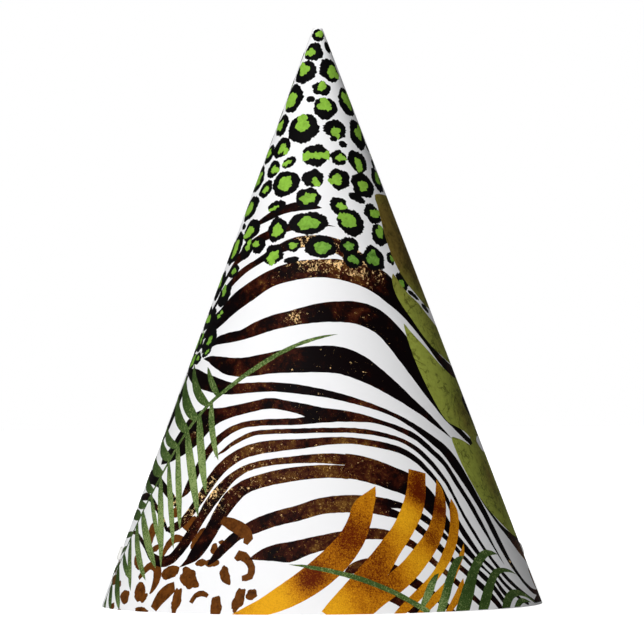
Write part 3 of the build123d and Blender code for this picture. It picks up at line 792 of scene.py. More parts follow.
class Blank:
    """The flat blank's sizes in millimetres, worked out from the card's and the frame's."""

    def __init__(self, sizes):
        self.tip_radius = sizes.tip_radius / MM
        self.rim_radius = RIM_RADIUS / MM
        self.half_angle = atan((RIM_RADIUS - sizes.tip_radius) / HAT_HEIGHT)
        self.share = sin(self.half_angle)  # a turn round the hat is this share of one on the blank
        self.rim = self.rim_radius / self.share
        self.tip = self.tip_radius / self.share
        self.point_height = self.rim * cos(self.half_angle)
        self.ramp_start = 180 - degrees(sizes.ramp_width / RIM_RADIUS)
        self.flap_end = 180 + degrees(sizes.lap_width / RIM_RADIUS)
        self.card = sizes.thickness / MM
        self.hole_radius = sizes.hole_radius / MM
        self.hole_reach = self.rim - sizes.eyelet_rise / MM
        self.hole_wraps = (degrees(sizes.eyelet_wrap), degrees(sizes.eyelet_wrap) + 180)

    def place(self, reach, wrap):
        """The place on the blank at a distance from the point and a wrap round the hat."""
        angle = radians(wrap) * self.share
        return reach * sin(angle), reach * cos(angle)

    def wraps(self):
        """Where the lines from the point to the rim lie, from the free edge to the flap's."""
        lines = []
        wrap = -180.0
        while wrap < self.ramp_start - WRAP_STEP / 2:
            lines.append(wrap)
            wrap += WRAP_STEP
        ramp = (180 - self.ramp_start) / RAMP_LINES
        lines += [self.ramp_start + i * ramp for i in range(RAMP_LINES + 1)]
        return lines + [(180 + self.flap_end) / 2, self.flap_end]

    def reaches(self):
        """Where the creases lie, from the tip to the rim."""
        count = round((self.rim - self.tip) / RING_STEP)
        return [self.tip + (self.rim - self.tip) * i / count for i in range(count + 1)]

    def holes(self):
        """Outlines of the two holes for the eyelets."""
        outlines = []
        for wrap in self.hole_wraps:
            x, y = self.place(self.hole_reach, wrap)
            turns = [tau * i / HOLE_CORNERS for i in range(HOLE_CORNERS)]
            radius = self.hole_radius
            outlines.append([(x + radius * cos(t), y + radius * sin(t)) for t in turns])
        return outlines


def grid_of(blank):
    """Points of the blank's grid in columns, the edges between them and the border's outline."""
    columns = [[blank.place(reach, wrap) for reach in blank.reaches()] for wrap in blank.wraps()]
    rows = len(columns[0])
    points = [p for column in columns for p in column]
    edges = [(i, i + 1) for i in range(len(points)) if (i + 1) % rows]
    edges += [(i, i + rows) for i in range(len(points) - rows)]
    last = len(points) - rows
    rim = [i * rows + rows - 1 for i in range(len(columns))]
    flap = [last + i for i in range(rows - 2, -1, -1)]
    tip = [i * rows for i in range(len(columns) - 2, -1, -1)]
    free_edge = list(range(1, rows - 1))
    return points, edges, rim + flap + tip + free_edge


def cut_outside(blank, shapes):
    """The outside's triangles and each one's ink, cut along the outlines of every shape."""
    # outline 0 is the blank's border, then come the shapes as painted, and the holes last
    points, edges, border = grid_of(blank)
    faces = [same_way(points, border)]
    for outline in [outline for _, outline, _, _ in shapes] + blank.holes():
        corners = list(range(len(points), len(points) + len(outline)))
        points += [(x, y) for x, y, *rest in outline]
        faces.append(same_way(points, corners))
    flat = [Vector(p) for p in points]
    points, _, triangles, _, _, made_by = delaunay_2d_cdt(flat, edges, faces, 0, SLACK, True)
    first_hole = len(shapes) + 1
    kept = []
    inks = []
    for corners, inside in zip(triangles, made_by):
        if 0 not in inside or max(inside) >= first_hole:
            continue
        middle = sum((points[c] for c in corners), Vector((0, 0))) / 3
        angle = degrees(atan2(middle.x, middle.y))
        colour = COAT
        for i in sorted(inside, reverse=True):
            if i and angle <= SEAM and shapes[i - 1][2] <= angle <= shapes[i - 1][3]:
                colour = shapes[i - 1][0]
                break
        kept.append(facing(points, corners, -1))
        inks.append(colour)
    return points, kept, inks


def same_way(points, corners):
    """An outline's corners in the order in which it encloses a positive area."""
    ends = zip(corners, corners[1:] + corners[:1])
    area = sum(points[a][0] * points[b][1] - points[b][0] * points[a][1] for a, b in ends)
    return corners if area > 0 else corners[::-1]


def facing(points, corners, way):
    """A flat triangle's corners in the order in which its area has the sign asked for."""
    a, b, c = (points[i] for i in corners)
    turn = (b.x - a.x) * (c.y - a.y) - (b.y - a.y) * (c.x - a.x)
    return tuple(corners) if turn * way > 0 else tuple(corners[::-1])


def without_loose(points, triangles):
    """The points that triangles use, and the triangles on the shorter list."""
    used = sorted({i for t in triangles for i in t})
    short = {i: k for k, i in enumerate(used)}
    return [points[i] for i in used], [tuple(short[i] for i in t) for t in triangles]


def open_edges(triangles):
    """The directed edges that only one triangle has."""
    edges = {(t[i], t[(i + 1) % 3]) for t in triangles for i in range(3)}
    return [(a, b) for a, b in edges if (b, a) not in edges]


def loops_of(edges):
    """Directed edges chained into closed loops, each from its lowest corner."""
    after = dict(edges)
    loops = []
    while after:
        corner = min(after)
        loop = []
        while corner in after:
            loop.append(corner)
            corner = after.pop(corner)
        loops.append(loop)
    return loops


def cut_inside(blank, points, loops):
    """The inside's triangles, coarser than the outside's but with the same points on its edges."""
    inner = []
    faces = []
    for loop in sorted(loops, key=len, reverse=True):
        corners = list(range(len(inner), len(inner) + len(loop)))
        inner += [points[i] for i in loop]
        faces.append(same_way(inner, corners))
    clear = blank.hole_radius + HOLE_MARGIN
    middles = [blank.place(blank.hole_reach, wrap) for wrap in blank.hole_wraps]
    for wrap in blank.wraps()[1:-1]:
        for reach in blank.reaches()[1:-1]:
            x, y = blank.place(reach, wrap)
            if all(hypot(x - a, y - b) > clear for a, b in middles):
                inner.append(Vector((x, y)))
    made, _, triangles, from_points, _, made_by = delaunay_2d_cdt(inner, [], faces, 0, SLACK, True)
    kept = [facing(made, t, 1) for t, inside in zip(triangles, made_by) if 0 in inside and max(inside) == 0]
    on_edge = {}
    for i, sources in enumerate(from_points):
        for source in sources:
            on_edge[source] = i
    order = [i for loop in sorted(loops, key=len, reverse=True) for i in loop]
    return made, kept, {i: on_edge[k] for k, i in enumerate(order)}


def flat_blank(blank, shapes):
    """The blank as a flat closed sheet: printed outside, bare inside and cut edges."""
    points, outside, inks = cut_outside(blank, shapes)
    points, outside = without_loose(points, outside)
    edges = open_edges(outside)
    inner, inside, on_edge = cut_inside(blank, points, loops_of(edges))
    offset = len(points)
    faces = list(outside)
    faces += [tuple(i + offset for i in t) for t in inside]
    faces += [(b, a, on_edge[a] + offset, on_edge[b] + offset) for a, b in sorted(edges)]

    places = [(p.x * MM, p.y * MM, 0.0) for p in points]
    places += [(p.x * MM, p.y * MM, -blank.card * MM) for p in inner]
    mesh = bpy.data.meshes.new("flat_blank")
    mesh.from_pydata(places, [], faces)

    bare = [False] * len(outside) + [True] * (len(faces) - len(outside))
    mesh.attributes.new("bare", "BOOLEAN", "FACE").data.foreach_set("value", bare)
    mesh.polygons.foreach_set("use_smooth", [True] * len(faces))
    numbers = [i - 1 for i in inks] + [COAT - 1] * (len(faces) - len(outside))
    mesh.polygons.foreach_set("material_index", numbers)
    write_ink_attributes(mesh, points, outside, inks)
    write_map(mesh, blank, len(outside), len(inside))
    return mesh


def write_ink_attributes(mesh, points, outside, inks):
    """Writes how the ink varies to each corner of the outside; the rest stays at 0."""
    seen = {}
    tones = []
    flecks = []
    for corners, colour in zip(outside, inks):
        for corner in corners:
            if (colour, corner) not in seen:
                seen[colour, corner] = ink_varies(colour, *points[corner])
            tone, fleck = seen[colour, corner]
            tones.append(tone)
            flecks.append(fleck)
    rest = [0.0] * (len(mesh.loops) - len(tones))
    mesh.attributes.new("tone", "FLOAT", "CORNER").data.foreach_set("value", tones + rest)
    mesh.attributes.new("fleck", "FLOAT", "CORNER").data.foreach_set("value", flecks + rest)


def write_map(mesh, blank, outside, inside):
    """Lays the flat blank out on the texture map: the outside, the inside at half size, the edges."""
    width = 2 * blank.rim * sin(radians(blank.flap_end * blank.share)) + 2 * MAP_EDGE
    half = 0.5 / width
    where = []
    walls = len(mesh.polygons) - outside - inside
    for face in mesh.polygons:
        for k, i in enumerate(face.vertices):
            x, y, _ = mesh.vertices[i].co / MM
            if face.index < outside:
                where += [0.5 + x / width, 1 - (y + MAP_EDGE) / width]
            elif face.index < outside + inside:
                where += [0.5 + x * half, INSIDE_ON_MAP - y * half]
            else:
                step = face.index - outside - inside
                where += [0.01 + 0.98 * (step + (0, 1, 1, 0)[k]) / walls, (0.02, 0.02, 0.05, 0.05)[k]]
    mesh.uv_layers.new(name="OFBake").uv.foreach_set("vector", where)


# ---- Laying out nodes ----------------------------------------------------------------------------
class Nodes:
    """A node tree being laid out, with short ways to add its nodes and join them."""

    def __init__(self, tree):
        self.tree = tree

    def add(self, kind, **settings):
        """Adds a node with its settings."""
        node = self.tree.nodes.new(kind)
        for name, value in settings.items():
            setattr(node, name, value)
        return node

    def join(self, value, socket):
        """Joins a socket to another one, or sets it to a plain value."""
        if isinstance(value, bpy.types.NodeSocket):
            self.tree.links.new(value, socket)
        elif hasattr(value, "__len__") and len(value) == 3 and len(socket.default_value) == 4:
            socket.default_value = (*value, 1.0)
        else:
            socket.default_value = value

    def fill(self, node, values):
        """Joins or sets a node's named inputs."""
        for name, value in values.items():
            self.join(value, node.inputs[name])

    def work(self, operation, *values, clamp=False):
        """A Math node on up to three values."""
        node = self.add("ShaderNodeMath", operation=operation, use_clamp=clamp)
        for value, socket in zip(values, node.inputs):
            self.join(value, socket)
        return node.outputs[0]

    def step(self, value, low, high, top=1.0):
        """0 below `low` and `top` above `high`, with a soft step between."""
        node = self.add("ShaderNodeMapRange", interpolation_type="SMOOTHSTEP")
        self.fill(node, {"Value": value, "From Min": low, "From Max": high, "To Max": top})
        return node.outputs[0]


# ---- Rolling the blank with Geometry Nodes -------------------------------------------------------
class Tree(Nodes):
    """A Geometry Nodes tree with named inputs."""

    def __init__(self, name):
        self.group = bpy.data.node_groups.new(name, "GeometryNodeTree")
        super().__init__(self.group)
        self.group.interface.new_socket("Geometry", in_out="INPUT", socket_type="NodeSocketGeometry")
        self.group.interface.new_socket("Geometry", in_out="OUTPUT", socket_type="NodeSocketGeometry")
        self.start = self.add("NodeGroupInput")
        self.end = self.add("NodeGroupOutput")

    def ask(self, name, kind="NodeSocketFloat"):
        """Adds a named input to the tree."""
        self.group.interface.new_socket(name, in_out="INPUT", socket_type=kind)
        return self.start.outputs[name]


def roll_tree():
    """The tree that rolls a flat blank about the Z axis, stepping its flap in under the lap."""
    tree = Tree("roll_blank")
    half_angle = tree.ask("Half angle")
    point_height = tree.ask("Point height")
    ramp_start = tree.ask("Ramp start")
    ramp_end = tree.ask("Ramp end")
    lap_step = tree.ask("Lap step")
    bare = tree.ask("Bare card", "NodeSocketMaterial")

    place = tree.add("ShaderNodeSeparateXYZ")
    tree.join(tree.add("GeometryNodeInputPosition").outputs[0], place.inputs[0])
    x, y, z = place.outputs
    reach = tree.work("SQRT", tree.work("ADD", tree.work("MULTIPLY", x, x), tree.work("MULTIPLY", y, y)))
    wrap = tree.work("DIVIDE", tree.work("ARCTAN2", x, y), tree.work("SINE", half_angle))

    depth = tree.work("SUBTRACT", tree.step(wrap, ramp_start, ramp_end, lap_step), z)
    slant = tree.work("COSINE", half_angle)
    outside = tree.work("MULTIPLY", reach, tree.work("SINE", half_angle))
    radius = tree.work("SUBTRACT", outside, tree.work("DIVIDE", depth, slant))
    sideways = tree.work("MULTIPLY", radius, tree.work("SINE", wrap))
    forward = tree.work("MULTIPLY", radius, tree.work("COSINE", wrap))
    back = tree.work("MULTIPLY", forward, -1.0)
    height = tree.work("SUBTRACT", point_height, tree.work("MULTIPLY", reach, slant))
    on_cone = tree.add("ShaderNodeCombineXYZ")
    tree.fill(on_cone, {"X": sideways, "Y": back, "Z": height})

    moved = tree.add("GeometryNodeSetPosition")
    tree.fill(moved, {"Geometry": tree.start.outputs["Geometry"], "Position": on_cone.outputs[0]})
    whole = tree.add("GeometryNodeRealizeInstances")
    tree.join(moved.outputs[0], whole.inputs[0])
    is_bare = tree.add("GeometryNodeInputNamedAttribute", data_type="BOOLEAN")
    is_bare.inputs["Name"].default_value = "bare"
    finished = tree.add("GeometryNodeSetMaterial")
    on_bare = {"Selection": is_bare.outputs["Attribute"], "Material": bare}
    tree.fill(finished, {"Geometry": whole.outputs[0], **on_bare})
    tree.join(finished.outputs[0], tree.end.inputs["Geometry"])
    return tree.group


def rolled(flat, name, blank, lap_step, bare):
    """The flat mesh rolled by the tree and turned into a plain mesh object."""
    holder = bpy.data.objects.new(name + "_flat", flat)
    bpy.context.scene.collection.objects.link(holder)
    modifier = holder.modifiers.new("Roll", "NODES")
    modifier.node_group = roll_tree()
    values = {
        "Half angle": blank.half_angle,
        "Point height": blank.point_height * MM,
        "Ramp start": radians(blank.ramp_start),
        "Ramp end": pi,
        "Lap step": lap_step,
        "Bare card": bare,
    }
    for item in modifier.node_group.interface.items_tree:
        if item.name in values and item.in_out == "INPUT":
            modifier[item.identifier] = values[item.name]
    shown = holder.evaluated_get(bpy.context.evaluated_depsgraph_get())
    mesh = bpy.data.meshes.new_from_object(shown)
    holder.modifiers.remove(modifier)
    bpy.data.objects.remove(holder)
    mesh.name = name
    card = bpy.data.objects.new(name, mesh)
    bpy.context.scene.collection.objects.link(card)
    return card


def smooth_shading(card, blank):
    """Gives each corner of the card the true cone's normal, and keeps the cut edges sharp."""
    mesh = card.data
    bare = [False] * len(mesh.polygons)
    mesh.attributes["bare"].data.foreach_get("value", bare)
    normals = []  # 0 leaves a corner to Blender, which knows the ramp's slope
    rise = sin(blank.half_angle)
    out = cos(blank.half_angle)
    for face in mesh.polygons:
        wall = len(face.vertices) == 4  # only the cut edges have four corners
        way = -1 if bare[face.index] else 1
        for i in face.vertices:
            x, y, _ = mesh.vertices[i].co
            wrap = atan2(x, -y)
            if wall or degrees(wrap) > blank.ramp_start:
                normals.append((0, 0, 0))
            else:
                normals.append((way * out * sin(wrap), -way * out * cos(wrap), way * rise))
    edge_faces = {}
    for face in mesh.polygons:
        for key in face.edge_keys:
            edge_faces.setdefault(key, []).append(len(face.vertices))
    sharp = [4 in edge_faces[tuple(sorted(edge.vertices))] for edge in mesh.edges]
    mesh.attributes.new("sharp_edge", "BOOLEAN", "EDGE").data.foreach_set("value", sharp)
    mesh.normals_split_custom_set(normals)


# ---- Finishes ------------------------------------------------------------------------------------
PRINT_ROUGHNESS = 0.5
PRINT_SPECULAR = 0.03
FLOOR_GLOW = 0.7  # strength of the floor's glow

# Shades that belong to one finish; those worth changing are settings in the panel.
STRIPE_WORN = ink(106, 72, 29)
STRIPE_SAND = ink(146, 108, 50)
LIME_SHADE = ink(56, 96, 30)
LIME_SHADE_LIGHT = ink(112, 160, 66)
EARTH_DARK = ink(38, 28, 10)
EARTH = ink(104, 86, 38)
EARTH_LIGHT = ink(150, 130, 58)


class Finish(Nodes):
    """A material being mixed."""

    def __init__(self, name, roughness, specular):
        self.material = bpy.data.materials.new(name)
        self.material.use_nodes = True
        super().__init__(self.material.node_tree)
        self.surface = self.tree.nodes["Principled BSDF"]
        self.fill(self.surface, {"Roughness": roughness, "Specular IOR Level": specular})
        self.place = self.add("ShaderNodeTexCoord").outputs["Object"]

    def noise(self, size, detail=4.0, rough=0.6, twist=0.0, shift=0.0):
        """Cloudy noise from 0 to 1, in patches about `size` millimetres across."""
        node = self.add("ShaderNodeTexNoise", noise_dimensions="4D")
        self.fill(node, {"Vector": self.place, "W": shift, "Scale": 1 / (size * MM)})
        self.fill(node, {"Detail": detail, "Roughness": rough, "Distortion": twist})
        return node.outputs[0]

    def varies(self, name):
        """A value written on the piece itself."""
        return self.add("ShaderNodeAttribute", attribute_name=name).outputs["Fac"]

    def ramp(self, value, *stops):
        """Colours by value: stops are (value, colour)."""
        node = self.add("ShaderNodeValToRGB")
        bar = node.color_ramp.elements
        while len(bar) < len(stops):
            bar.new(0.5)
        for element, (at, shade) in zip(bar, stops):
            element.position = at
            element.color = (*shade, 1.0)
        self.join(value, node.inputs[0])
        return node.outputs[0]

    def mix(self, share, under, over):
        """One colour over another."""
        node = self.add("ShaderNodeMix", data_type="RGBA")
        # the node has its factor first, and its two colours after those of its other kinds
        for value, socket in ((share, 0), (under, 6), (over, 7)):
            self.join(value, node.inputs[socket])
        return node.outputs[2]

    def lean(self, value, middle, times, *more):
        """How far a value lies from its middle, times a number or another value, and more added."""
        off = self.work("SUBTRACT", value, middle)
        return self.work("MULTIPLY_ADD", off, times, *more)

    def paint(self, shade):
        """Joins the finished colour to the surface."""
        self.join(shade, self.surface.inputs["Base Color"])

    def emboss(self, height, depth):
        """Raises the surface by a height pattern, `depth` millimetres from its lowest to its highest."""
        node = self.add("ShaderNodeBump")
        self.fill(node, {"Distance": depth * MM, "Height": height})
        self.join(node.outputs[0], self.surface.inputs["Normal"])

    def gloss(self, value, low, high):
        """Roughness that follows a pattern from `low` to `high`."""
        node = self.add("ShaderNodeMapRange")
        self.fill(node, {"Value": value, "To Min": low, "To Max": high})
        self.join(node.outputs[0], self.surface.inputs["Roughness"])


def printed(name):
    """A finish on coated card: a satin face with the faint dimple of its coating."""
    finish = Finish(name, PRINT_ROUGHNESS, PRINT_SPECULAR)
    finish.emboss(finish.noise(0.9, 3, 0.55, shift=7.0), 0.012)
    finish.gloss(finish.noise(5, 3, 0.6, shift=2.0), 0.46, 0.6)
    return finish


def scaled(shade, by):
    """A colour made lighter or darker."""
    return tuple(min(1.0, c * by) for c in shade)


def coated_card(colours):
    """The unprinted face: white, with the faintest cloud in its coating."""
    finish = printed("coated_card")
    cloud = finish.noise(14, 4, 0.6)
    finish.paint(finish.mix(cloud, scaled(colours.coat, 0.985), colours.coat))
    return finish.material


def bare_board(colours):
    """The inside and the cut edges: uncoated board with short fibres."""
    finish = Finish("bare_card", 0.85, 0.25)
    fibres = finish.noise(0.35, 5, 0.7, 1.5)
    cloud = finish.noise(6, 4, 0.6, shift=3.0)
    shade = finish.mix(cloud, scaled(colours.bare, 0.95), colours.bare)
    finish.paint(finish.mix(finish.step(fibres, 0.62, 0.72), shade, scaled(colours.bare, 0.88)))
    finish.emboss(fibres, 0.03)
    return finish.material


def stripe_ink(colours):
    """The stripes: black worn to maroon and brown in clouds, speckled, with flecks of leaf."""
    finish = printed("stripe_ink")
    tone = finish.varies("tone")
    fleck = finish.varies("fleck")
    cloud = finish.noise(6.5, 9, 0.72, 0.4)
    grain = finish.noise(1.3, 7, 0.82, 0.3, shift=5.0)
    coarse = finish.work("MULTIPLY_ADD", tone, 2.6, 0.1)  # the grain is stronger where the ink is worn
    worn = finish.lean(grain, 0.5, coarse, finish.lean(cloud, 0.5, 2.8, tone))
    shade = finish.ramp(
        finish.work("SUBTRACT", worn, 0.24, clamp=True),
        (0.0, colours.stripe),
        (0.2, scaled(colours.stripe_maroon, 0.35)),
        (0.42, colours.stripe_maroon),
        (0.72, colours.stripe_brown),
        (1.0, STRIPE_WORN),
    )
    sand = finish.work("MULTIPLY_ADD", worn, 0.14, finish.noise(0.55, 3, 0.8, shift=7.0))
    shade = finish.mix(finish.step(sand, 0.7, 0.76), shade, STRIPE_SAND)
    chips = finish.noise(0.95, 5, 0.8, 0.4, shift=9.0)
    flakes = finish.noise(2.6, 7, 0.8, 0.8, shift=1.0)
    flecks = finish.work("ADD", finish.work("MULTIPLY", chips, 0.5), finish.work("MULTIPLY", flakes, 0.5))
    limit = finish.work("MULTIPLY_ADD", fleck, -0.16, 0.682)
    flecked = finish.step(finish.work("SUBTRACT", flecks, limit), 0.0, 0.014)
    leaf = finish.mix(finish.step(grain, 0.3, 0.5), scaled(colours.fleck, 0.4), colours.fleck)
    finish.paint(finish.mix(flecked, shade, leaf))
    return finish.material


def lime_ink(colours):
    """The middles of the rosettes: lime with darker strokes in it."""
    finish = printed("lime_ink")
    strokes = finish.noise(1.6, 6, 0.7, 0.8)
    bright = finish.ramp(
        strokes,
        (0.3, scaled(colours.lime, 0.72)),
        (0.5, colours.lime),
        (0.72, scaled(colours.lime, 1.18)),
    )
    deep = finish.ramp(strokes, (0.35, LIME_SHADE), (0.6, LIME_SHADE_LIGHT))
    finish.paint(finish.mix(finish.varies("tone"), deep, bright))
    return finish.material


def blotched(name, blots, *stops):
    """An ink in one run of colours, in blots."""
    finish = printed(name)
    finish.paint(finish.ramp(finish.noise(*blots), *stops))
    return finish.material


def ring_ink(colours):
    """The rings of the rosettes: black, a little greyer in places."""
    return blotched("ring_ink", (1.4, 5, 0.7), (0.4, colours.ring), (0.8, scaled(colours.ring, 1.4)))


def olive_ink(colours):
    """The big leaf: mottled olive with dark crackled veins, browner and darker in places; its darkening
    towards the hat's right side is painted shade.
    """
    finish = printed("olive_ink")
    tone = finish.varies("tone")
    brown = finish.varies("fleck")
    cloud = finish.noise(9, 8, 0.68, 0.5)
    grain = finish.noise(0.9, 5, 0.7, shift=4.0)
    light = finish.work("ADD", finish.work("MULTIPLY", cloud, 0.9), finish.work("MULTIPLY", grain, 0.8))
    # the tone brings in painted shade, darker towards the hat's right side
    light = finish.work("ADD", light, finish.work("MULTIPLY", tone, 0.85))
    light = finish.work("SUBTRACT", light, 0.84, clamp=True)
    shade = finish.ramp(
        light,
        (0.0, scaled(colours.olive_dark, 0.7)),
        (0.3, colours.olive_dark),
        (0.62, colours.olive),
        (1.0, scaled(colours.olive, 1.45)),
    )
    earth = finish.ramp(light, (0.0, EARTH_DARK), (0.4, EARTH), (1.0, EARTH_LIGHT))
    browned = finish.step(finish.work("MULTIPLY", brown, cloud), 0.1, 0.42)
    shade = finish.mix(browned, shade, earth)
    # veins run where a warped field of noise crosses its middle value
    warped = finish.noise(7, 5, 0.62, 1.2, shift=6.0)
    crossing = finish.work("ABSOLUTE", finish.work("SUBTRACT", warped, 0.5))
    near = finish.work("SUBTRACT", 1.0, finish.step(crossing, 0.004, 0.035))
    broken = finish.work("MULTIPLY", near, finish.step(finish.noise(4, 4, 0.6, shift=8.0), 0.4, 0.58))
    finish.paint(finish.mix(finish.work("MULTIPLY", broken, 0.7), shade, scaled(colours.olive_dark, 0.6)))
    return finish.material


def rib_ink(colours):
    """The big leaf's ribs: pale olive, blotched."""
    stops = ((0.35, scaled(colours.olive, 0.9)), (0.65, scaled(colours.olive, 1.9)))
    return blotched("rib_ink", (2.2, 6, 0.7, 0.3), *stops)


def spot_ink(colours):
    """The leopard spots: brown with darker blots in them."""
    stops = ((0.34, colours.spot_dark), (0.5, colours.spot), (0.7, scaled(colours.spot, 1.5)))
    return blotched("spot_ink", (1.8, 7, 0.72, 0.4), *stops)


def palm_ink(colours):
    """The fronds: dark green with fine glitter in it, thicker where the tone is lighter."""
    finish = printed("palm_ink")
    tone = finish.varies("tone")
    glitter = finish.noise(0.5, 3, 0.8, shift=3.0)
    cloud = finish.noise(4, 5, 0.65)
    density = finish.work("ADD", finish.work("MULTIPLY", tone, 0.26), finish.work("MULTIPLY", cloud, 0.22))
    limit = finish.work("SUBTRACT", 0.76, density)
    shade = finish.ramp(
        finish.work("ADD", finish.work("MULTIPLY", tone, 0.6), finish.work("MULTIPLY", cloud, 0.5)),
        (0.2, scaled(colours.palm, 0.5)),
        (0.5, colours.palm),
        (0.9, scaled(colours.palm, 2.0)),
    )
    sparkle = finish.step(finish.work("SUBTRACT", glitter, limit), -0.05, 0.06)
    finish.paint(finish.mix(finish.work("MULTIPLY", sparkle, 0.8), shade, colours.palm_light))
    return finish.material


def gold_ink(colours):
    """The gold leaf: bright gold running into copper, with a sandy glitter."""
    finish = printed("gold_ink")
    tone = finish.varies("tone")
    sand = finish.noise(0.42, 4, 0.85, shift=5.0)
    cloud = finish.noise(5, 3, 0.5)
    light = finish.lean(cloud, 0.5, 0.25, finish.lean(sand, 0.5, 1.6, tone))
    finish.paint(
        finish.ramp(
            finish.work("MAXIMUM", light, 0.0),
            (0.0, scaled(colours.copper, 0.7)),
            (0.25, colours.copper),
            (0.55, colours.gold_deep),
            (0.85, colours.gold),
            (1.0, scaled(colours.gold, 1.08)),
        )
    )
    return finish.material


def dried_glue():
    """The glue film: clear and faintly yellow, brushed on along the seam with a few bubbles."""
    finish = Finish("dried_glue", 0.3, 0.5)
    brush = finish.noise(2.2, 5, 0.65, 1.0)
    bubbles = finish.step(finish.noise(0.7, 2, 0.5, shift=4.0), 0.66, 0.72)
    shade = finish.ramp(brush, (0.3, ink(214, 206, 178)), (0.7, ink(236, 231, 214)))
    finish.paint(finish.mix(bubbles, shade, ink(246, 245, 238)))
    finish.gloss(brush, 0.22, 0.4)
    finish.emboss(finish.work("ADD", brush, bubbles), 0.02)
    return finish.material


def white_enamel():
    """The eyelets: white enamel on pressed metal, with small chips down to the metal."""
    finish = Finish("white_enamel", 0.28, 0.5)
    flow = finish.noise(1.6, 4, 0.6)
    wear = finish.noise(0.45, 6, 0.7, 0.5, shift=6.0)
    chips = finish.step(wear, 0.7, 0.73)
    enamel = finish.mix(flow, ink(222, 221, 217), ink(240, 239, 236))
    finish.paint(finish.mix(chips, enamel, ink(150, 148, 142)))
    finish.join(finish.work("MULTIPLY", chips, 0.9), finish.surface.inputs["Metallic"])
    finish.gloss(flow, 0.2, 0.36)
    finish.emboss(finish.work("SUBTRACT", finish.work("MULTIPLY", flow, 0.4), chips), 0.02)
    return finish.material


def studio_floor():
    """The floor: matt white paper with a faint tooth."""
    finish = Finish("studio_floor", 0.95, 0.0)
    tooth = finish.noise(2.0, 3, 0.6)
    finish.paint(finish.mix(tooth, ink(246, 246, 246), ink(250, 250, 250)))
    finish.emboss(tooth, 0.02)
    # a glow that only the camera sees: it whitens the floor and sheds no light on the hat
    seen = finish.add("ShaderNodeLightPath").outputs["Is Camera Ray"]
    glow = finish.work("MULTIPLY", seen, FLOOR_GLOW)
    finish.fill(finish.surface, {"Emission Color": (1, 1, 1), "Emission Strength": glow})
    return finish.material


# the card's materials in the order of the inks' numbers
CARD_FINISHES = (
    stripe_ink,
    lime_ink,
    ring_ink,
    olive_ink,
    rib_ink,
    spot_ink,
    palm_ink,
    gold_ink,
    coated_card,
)


def refinish(node, material):
    """Gives a piece of the frame its finish in every one of its material slots."""
    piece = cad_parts[node]
    if not piece.material_slots:
        raise RuntimeError(node + " has no material slot")
    for slot in piece.material_slots:
        slot.material = material


# ---- The studio ----------------------------------------------------------------------------------
FLOOR_SIZE = 30.0
SENSOR_WIDTH = 36.0  # of the camera, in millimetres
KEY_FROM = (-0.397, -0.852, 0.342)  # where the lights shine from, as seen from the hat
BACK_FROM = (0.0, 0.9, 0.436)
KEY_SOFTNESS = 40  # how wide the lights look from the hat, in degrees
BACK_SOFTNESS = 20


def aimed(place, target, roll=0.0):
    """A matrix that stands at a place and looks at a target, turned by a roll."""
    ahead = (Vector(target) - Vector(place)).normalized()
    level = ahead.cross(Vector((0, 0, 1))).normalized()
    upright = level.cross(ahead)
    up = upright * cos(roll) + level * sin(roll)
    right = level * cos(roll) - upright * sin(roll)
    turn = Matrix((right, up, -ahead)).transposed()
    return Matrix.Translation(place) @ turn.to_4x4()


def make_camera(studio):
    """The camera at the viewing angle of the front."""
    data = bpy.data.cameras.new("camera")
    data.sensor_width = SENSOR_WIDTH
    data.lens = studio.lens
    camera = bpy.data.objects.new("camera", data)
    bpy.context.scene.collection.objects.link(camera)
    place = (studio.shift, -studio.distance, studio.height)
    camera.matrix_world = aimed(place, (studio.shift, 0, studio.aim), studio.roll)
    bpy.context.scene.camera = camera


def make_sun(name, strength, place, softness):
    """A soft light from one side, even over the whole floor."""
    data = bpy.data.lights.new(name, "SUN")
    data.energy = strength
    data.angle = radians(softness)
    light = bpy.data.objects.new(name, data)
    bpy.context.scene.collection.objects.link(light)
    light.matrix_world = aimed(place, (0, 0, 0))


def make_surroundings(strength):
    """An even pale surrounding light, which the camera sees as plain white."""
    world = bpy.data.worlds.new("surroundings")
    bpy.context.scene.world = world
    world.use_nodes = True
    air = Nodes(world.node_tree)
    soft = air.tree.nodes["Background"]
    air.fill(soft, {"Color": (1, 1, 1), "Strength": strength})
    white = air.add("ShaderNodeBackground")
    air.fill(white, {"Color": (1, 1, 1)})
    seen = air.add("ShaderNodeLightPath").outputs["Is Camera Ray"]
    either = air.add("ShaderNodeMixShader")
    for value, socket in zip((seen, soft.outputs[0], white.outputs[0]), either.inputs):
        air.join(value, socket)
    air.join(either.outputs[0], air.tree.nodes["World Output"].inputs["Surface"])


def make_floor():
    """A wide plain floor under the hat."""
    half = FLOOR_SIZE / 2
    mesh = bpy.data.meshes.new("floor")
    corners = [(-half, -half, 0), (half, -half, 0), (half, half, 0), (-half, half, 0)]
    mesh.from_pydata(corners, [], [(0, 1, 2, 3)])
    mesh.materials.append(studio_floor())
    floor = bpy.data.objects.new("floor", mesh)
    bpy.context.scene.collection.objects.link(floor)


# ---- Operators and panel -------------------------------------------------------------------------
class PARTYHAT_OT_printed_card(bpy.types.Operator):
    """Draws the print on the flat blank, cuts the blank out and rolls it into the cone"""

    bl_idname = "party_hat.printed_card"
    bl_label = "Printed Card"

    def execute(self, context):
        sizes = context.scene.party_hat_card
        colours = context.scene.party_hat_print
        blank = Blank(sizes)
        flat = flat_blank(blank, all_shapes())
        for finish in CARD_FINISHES:
            flat.materials.append(finish(colours))
        card = rolled(flat, "printed_card", blank, sizes.lap_step, bare_board(colours))
        smooth_shading(card, blank)
        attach(card, "root")
        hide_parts("hat_card")
        return {"FINISHED"}


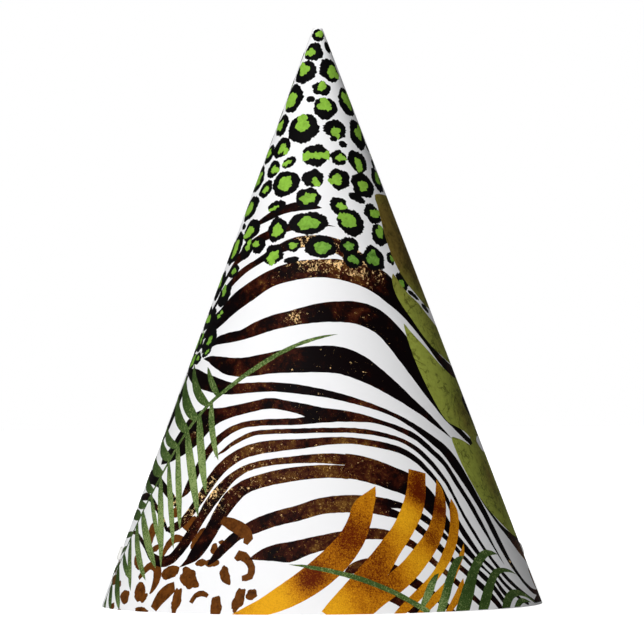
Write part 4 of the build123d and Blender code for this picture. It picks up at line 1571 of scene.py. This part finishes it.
class PARTYHAT_OT_seam_glue(bpy.types.Operator):
    """Gives the glue film in the back seam its finish"""

    bl_idname = "party_hat.seam_glue"
    bl_label = "Seam Glue"

    def execute(self, context):
        refinish("seam_glue", dried_glue())
        return {"FINISHED"}


class PARTYHAT_OT_eyelets(bpy.types.Operator):
    """Gives both string eyelets their enamel"""

    bl_idname = "party_hat.eyelets"
    bl_label = "Eyelets"

    def execute(self, context):
        enamel = white_enamel()
        for node in ("eyelet_left", "eyelet_right"):
            refinish(node, enamel)
        return {"FINISHED"}


class PARTYHAT_OT_stage(bpy.types.Operator):
    """Sets the floor, the lights and the camera"""

    bl_idname = "party_hat.stage"
    bl_label = "Studio"

    def execute(self, context):
        studio = context.scene.party_hat_studio
        make_floor()
        make_surroundings(studio.fill)
        make_sun("key_light", studio.key, KEY_FROM, KEY_SOFTNESS)
        make_sun("back_light", studio.back, BACK_FROM, BACK_SOFTNESS)
        make_camera(studio)
        context.scene.view_settings.view_transform = "Standard"
        return {"FINISHED"}


class PARTYHAT_PT_panel(bpy.types.Panel):
    """Lists the hat's operators and settings in the sidebar"""

    bl_label = "Party Hat"
    bl_idname = "PARTYHAT_PT_panel"
    bl_space_type = "VIEW_3D"
    bl_region_type = "UI"
    bl_category = "Party Hat"

    def draw(self, context):
        for operator in OPERATORS:
            self.layout.operator(operator.bl_idname)
        for group in ("party_hat_card", "party_hat_print", "party_hat_studio"):
            settings = getattr(context.scene, group)
            box = self.layout.box()
            for name in settings.bl_rna.properties.keys():
                if name not in ("rna_type", "name"):
                    box.prop(settings, name)


GROUPS = {
    "party_hat_card": CardSizes,
    "party_hat_print": PrintColours,
    "party_hat_studio": StudioSettings,
}
OPERATORS = (
    PARTYHAT_OT_printed_card,
    PARTYHAT_OT_seam_glue,
    PARTYHAT_OT_eyelets,
    PARTYHAT_OT_stage,
)


def register():
    for name, group in GROUPS.items():
        bpy.utils.register_class(group)
        setattr(bpy.types.Scene, name, PointerProperty(type=group))
    for operator in OPERATORS:
        bpy.utils.register_class(operator)
    bpy.utils.register_class(PARTYHAT_PT_panel)


def unregister():
    bpy.utils.unregister_class(PARTYHAT_PT_panel)
    for operator in reversed(OPERATORS):
        bpy.utils.unregister_class(operator)
    for name, group in reversed(GROUPS.items()):
        delattr(bpy.types.Scene, name)
        bpy.utils.unregister_class(group)


def main():
    register()
    bpy.ops.party_hat.printed_card()
    bpy.ops.party_hat.seam_glue()
    bpy.ops.party_hat.eyelets()
    bpy.ops.party_hat.stage()


if __name__ == "__main__":
    main()
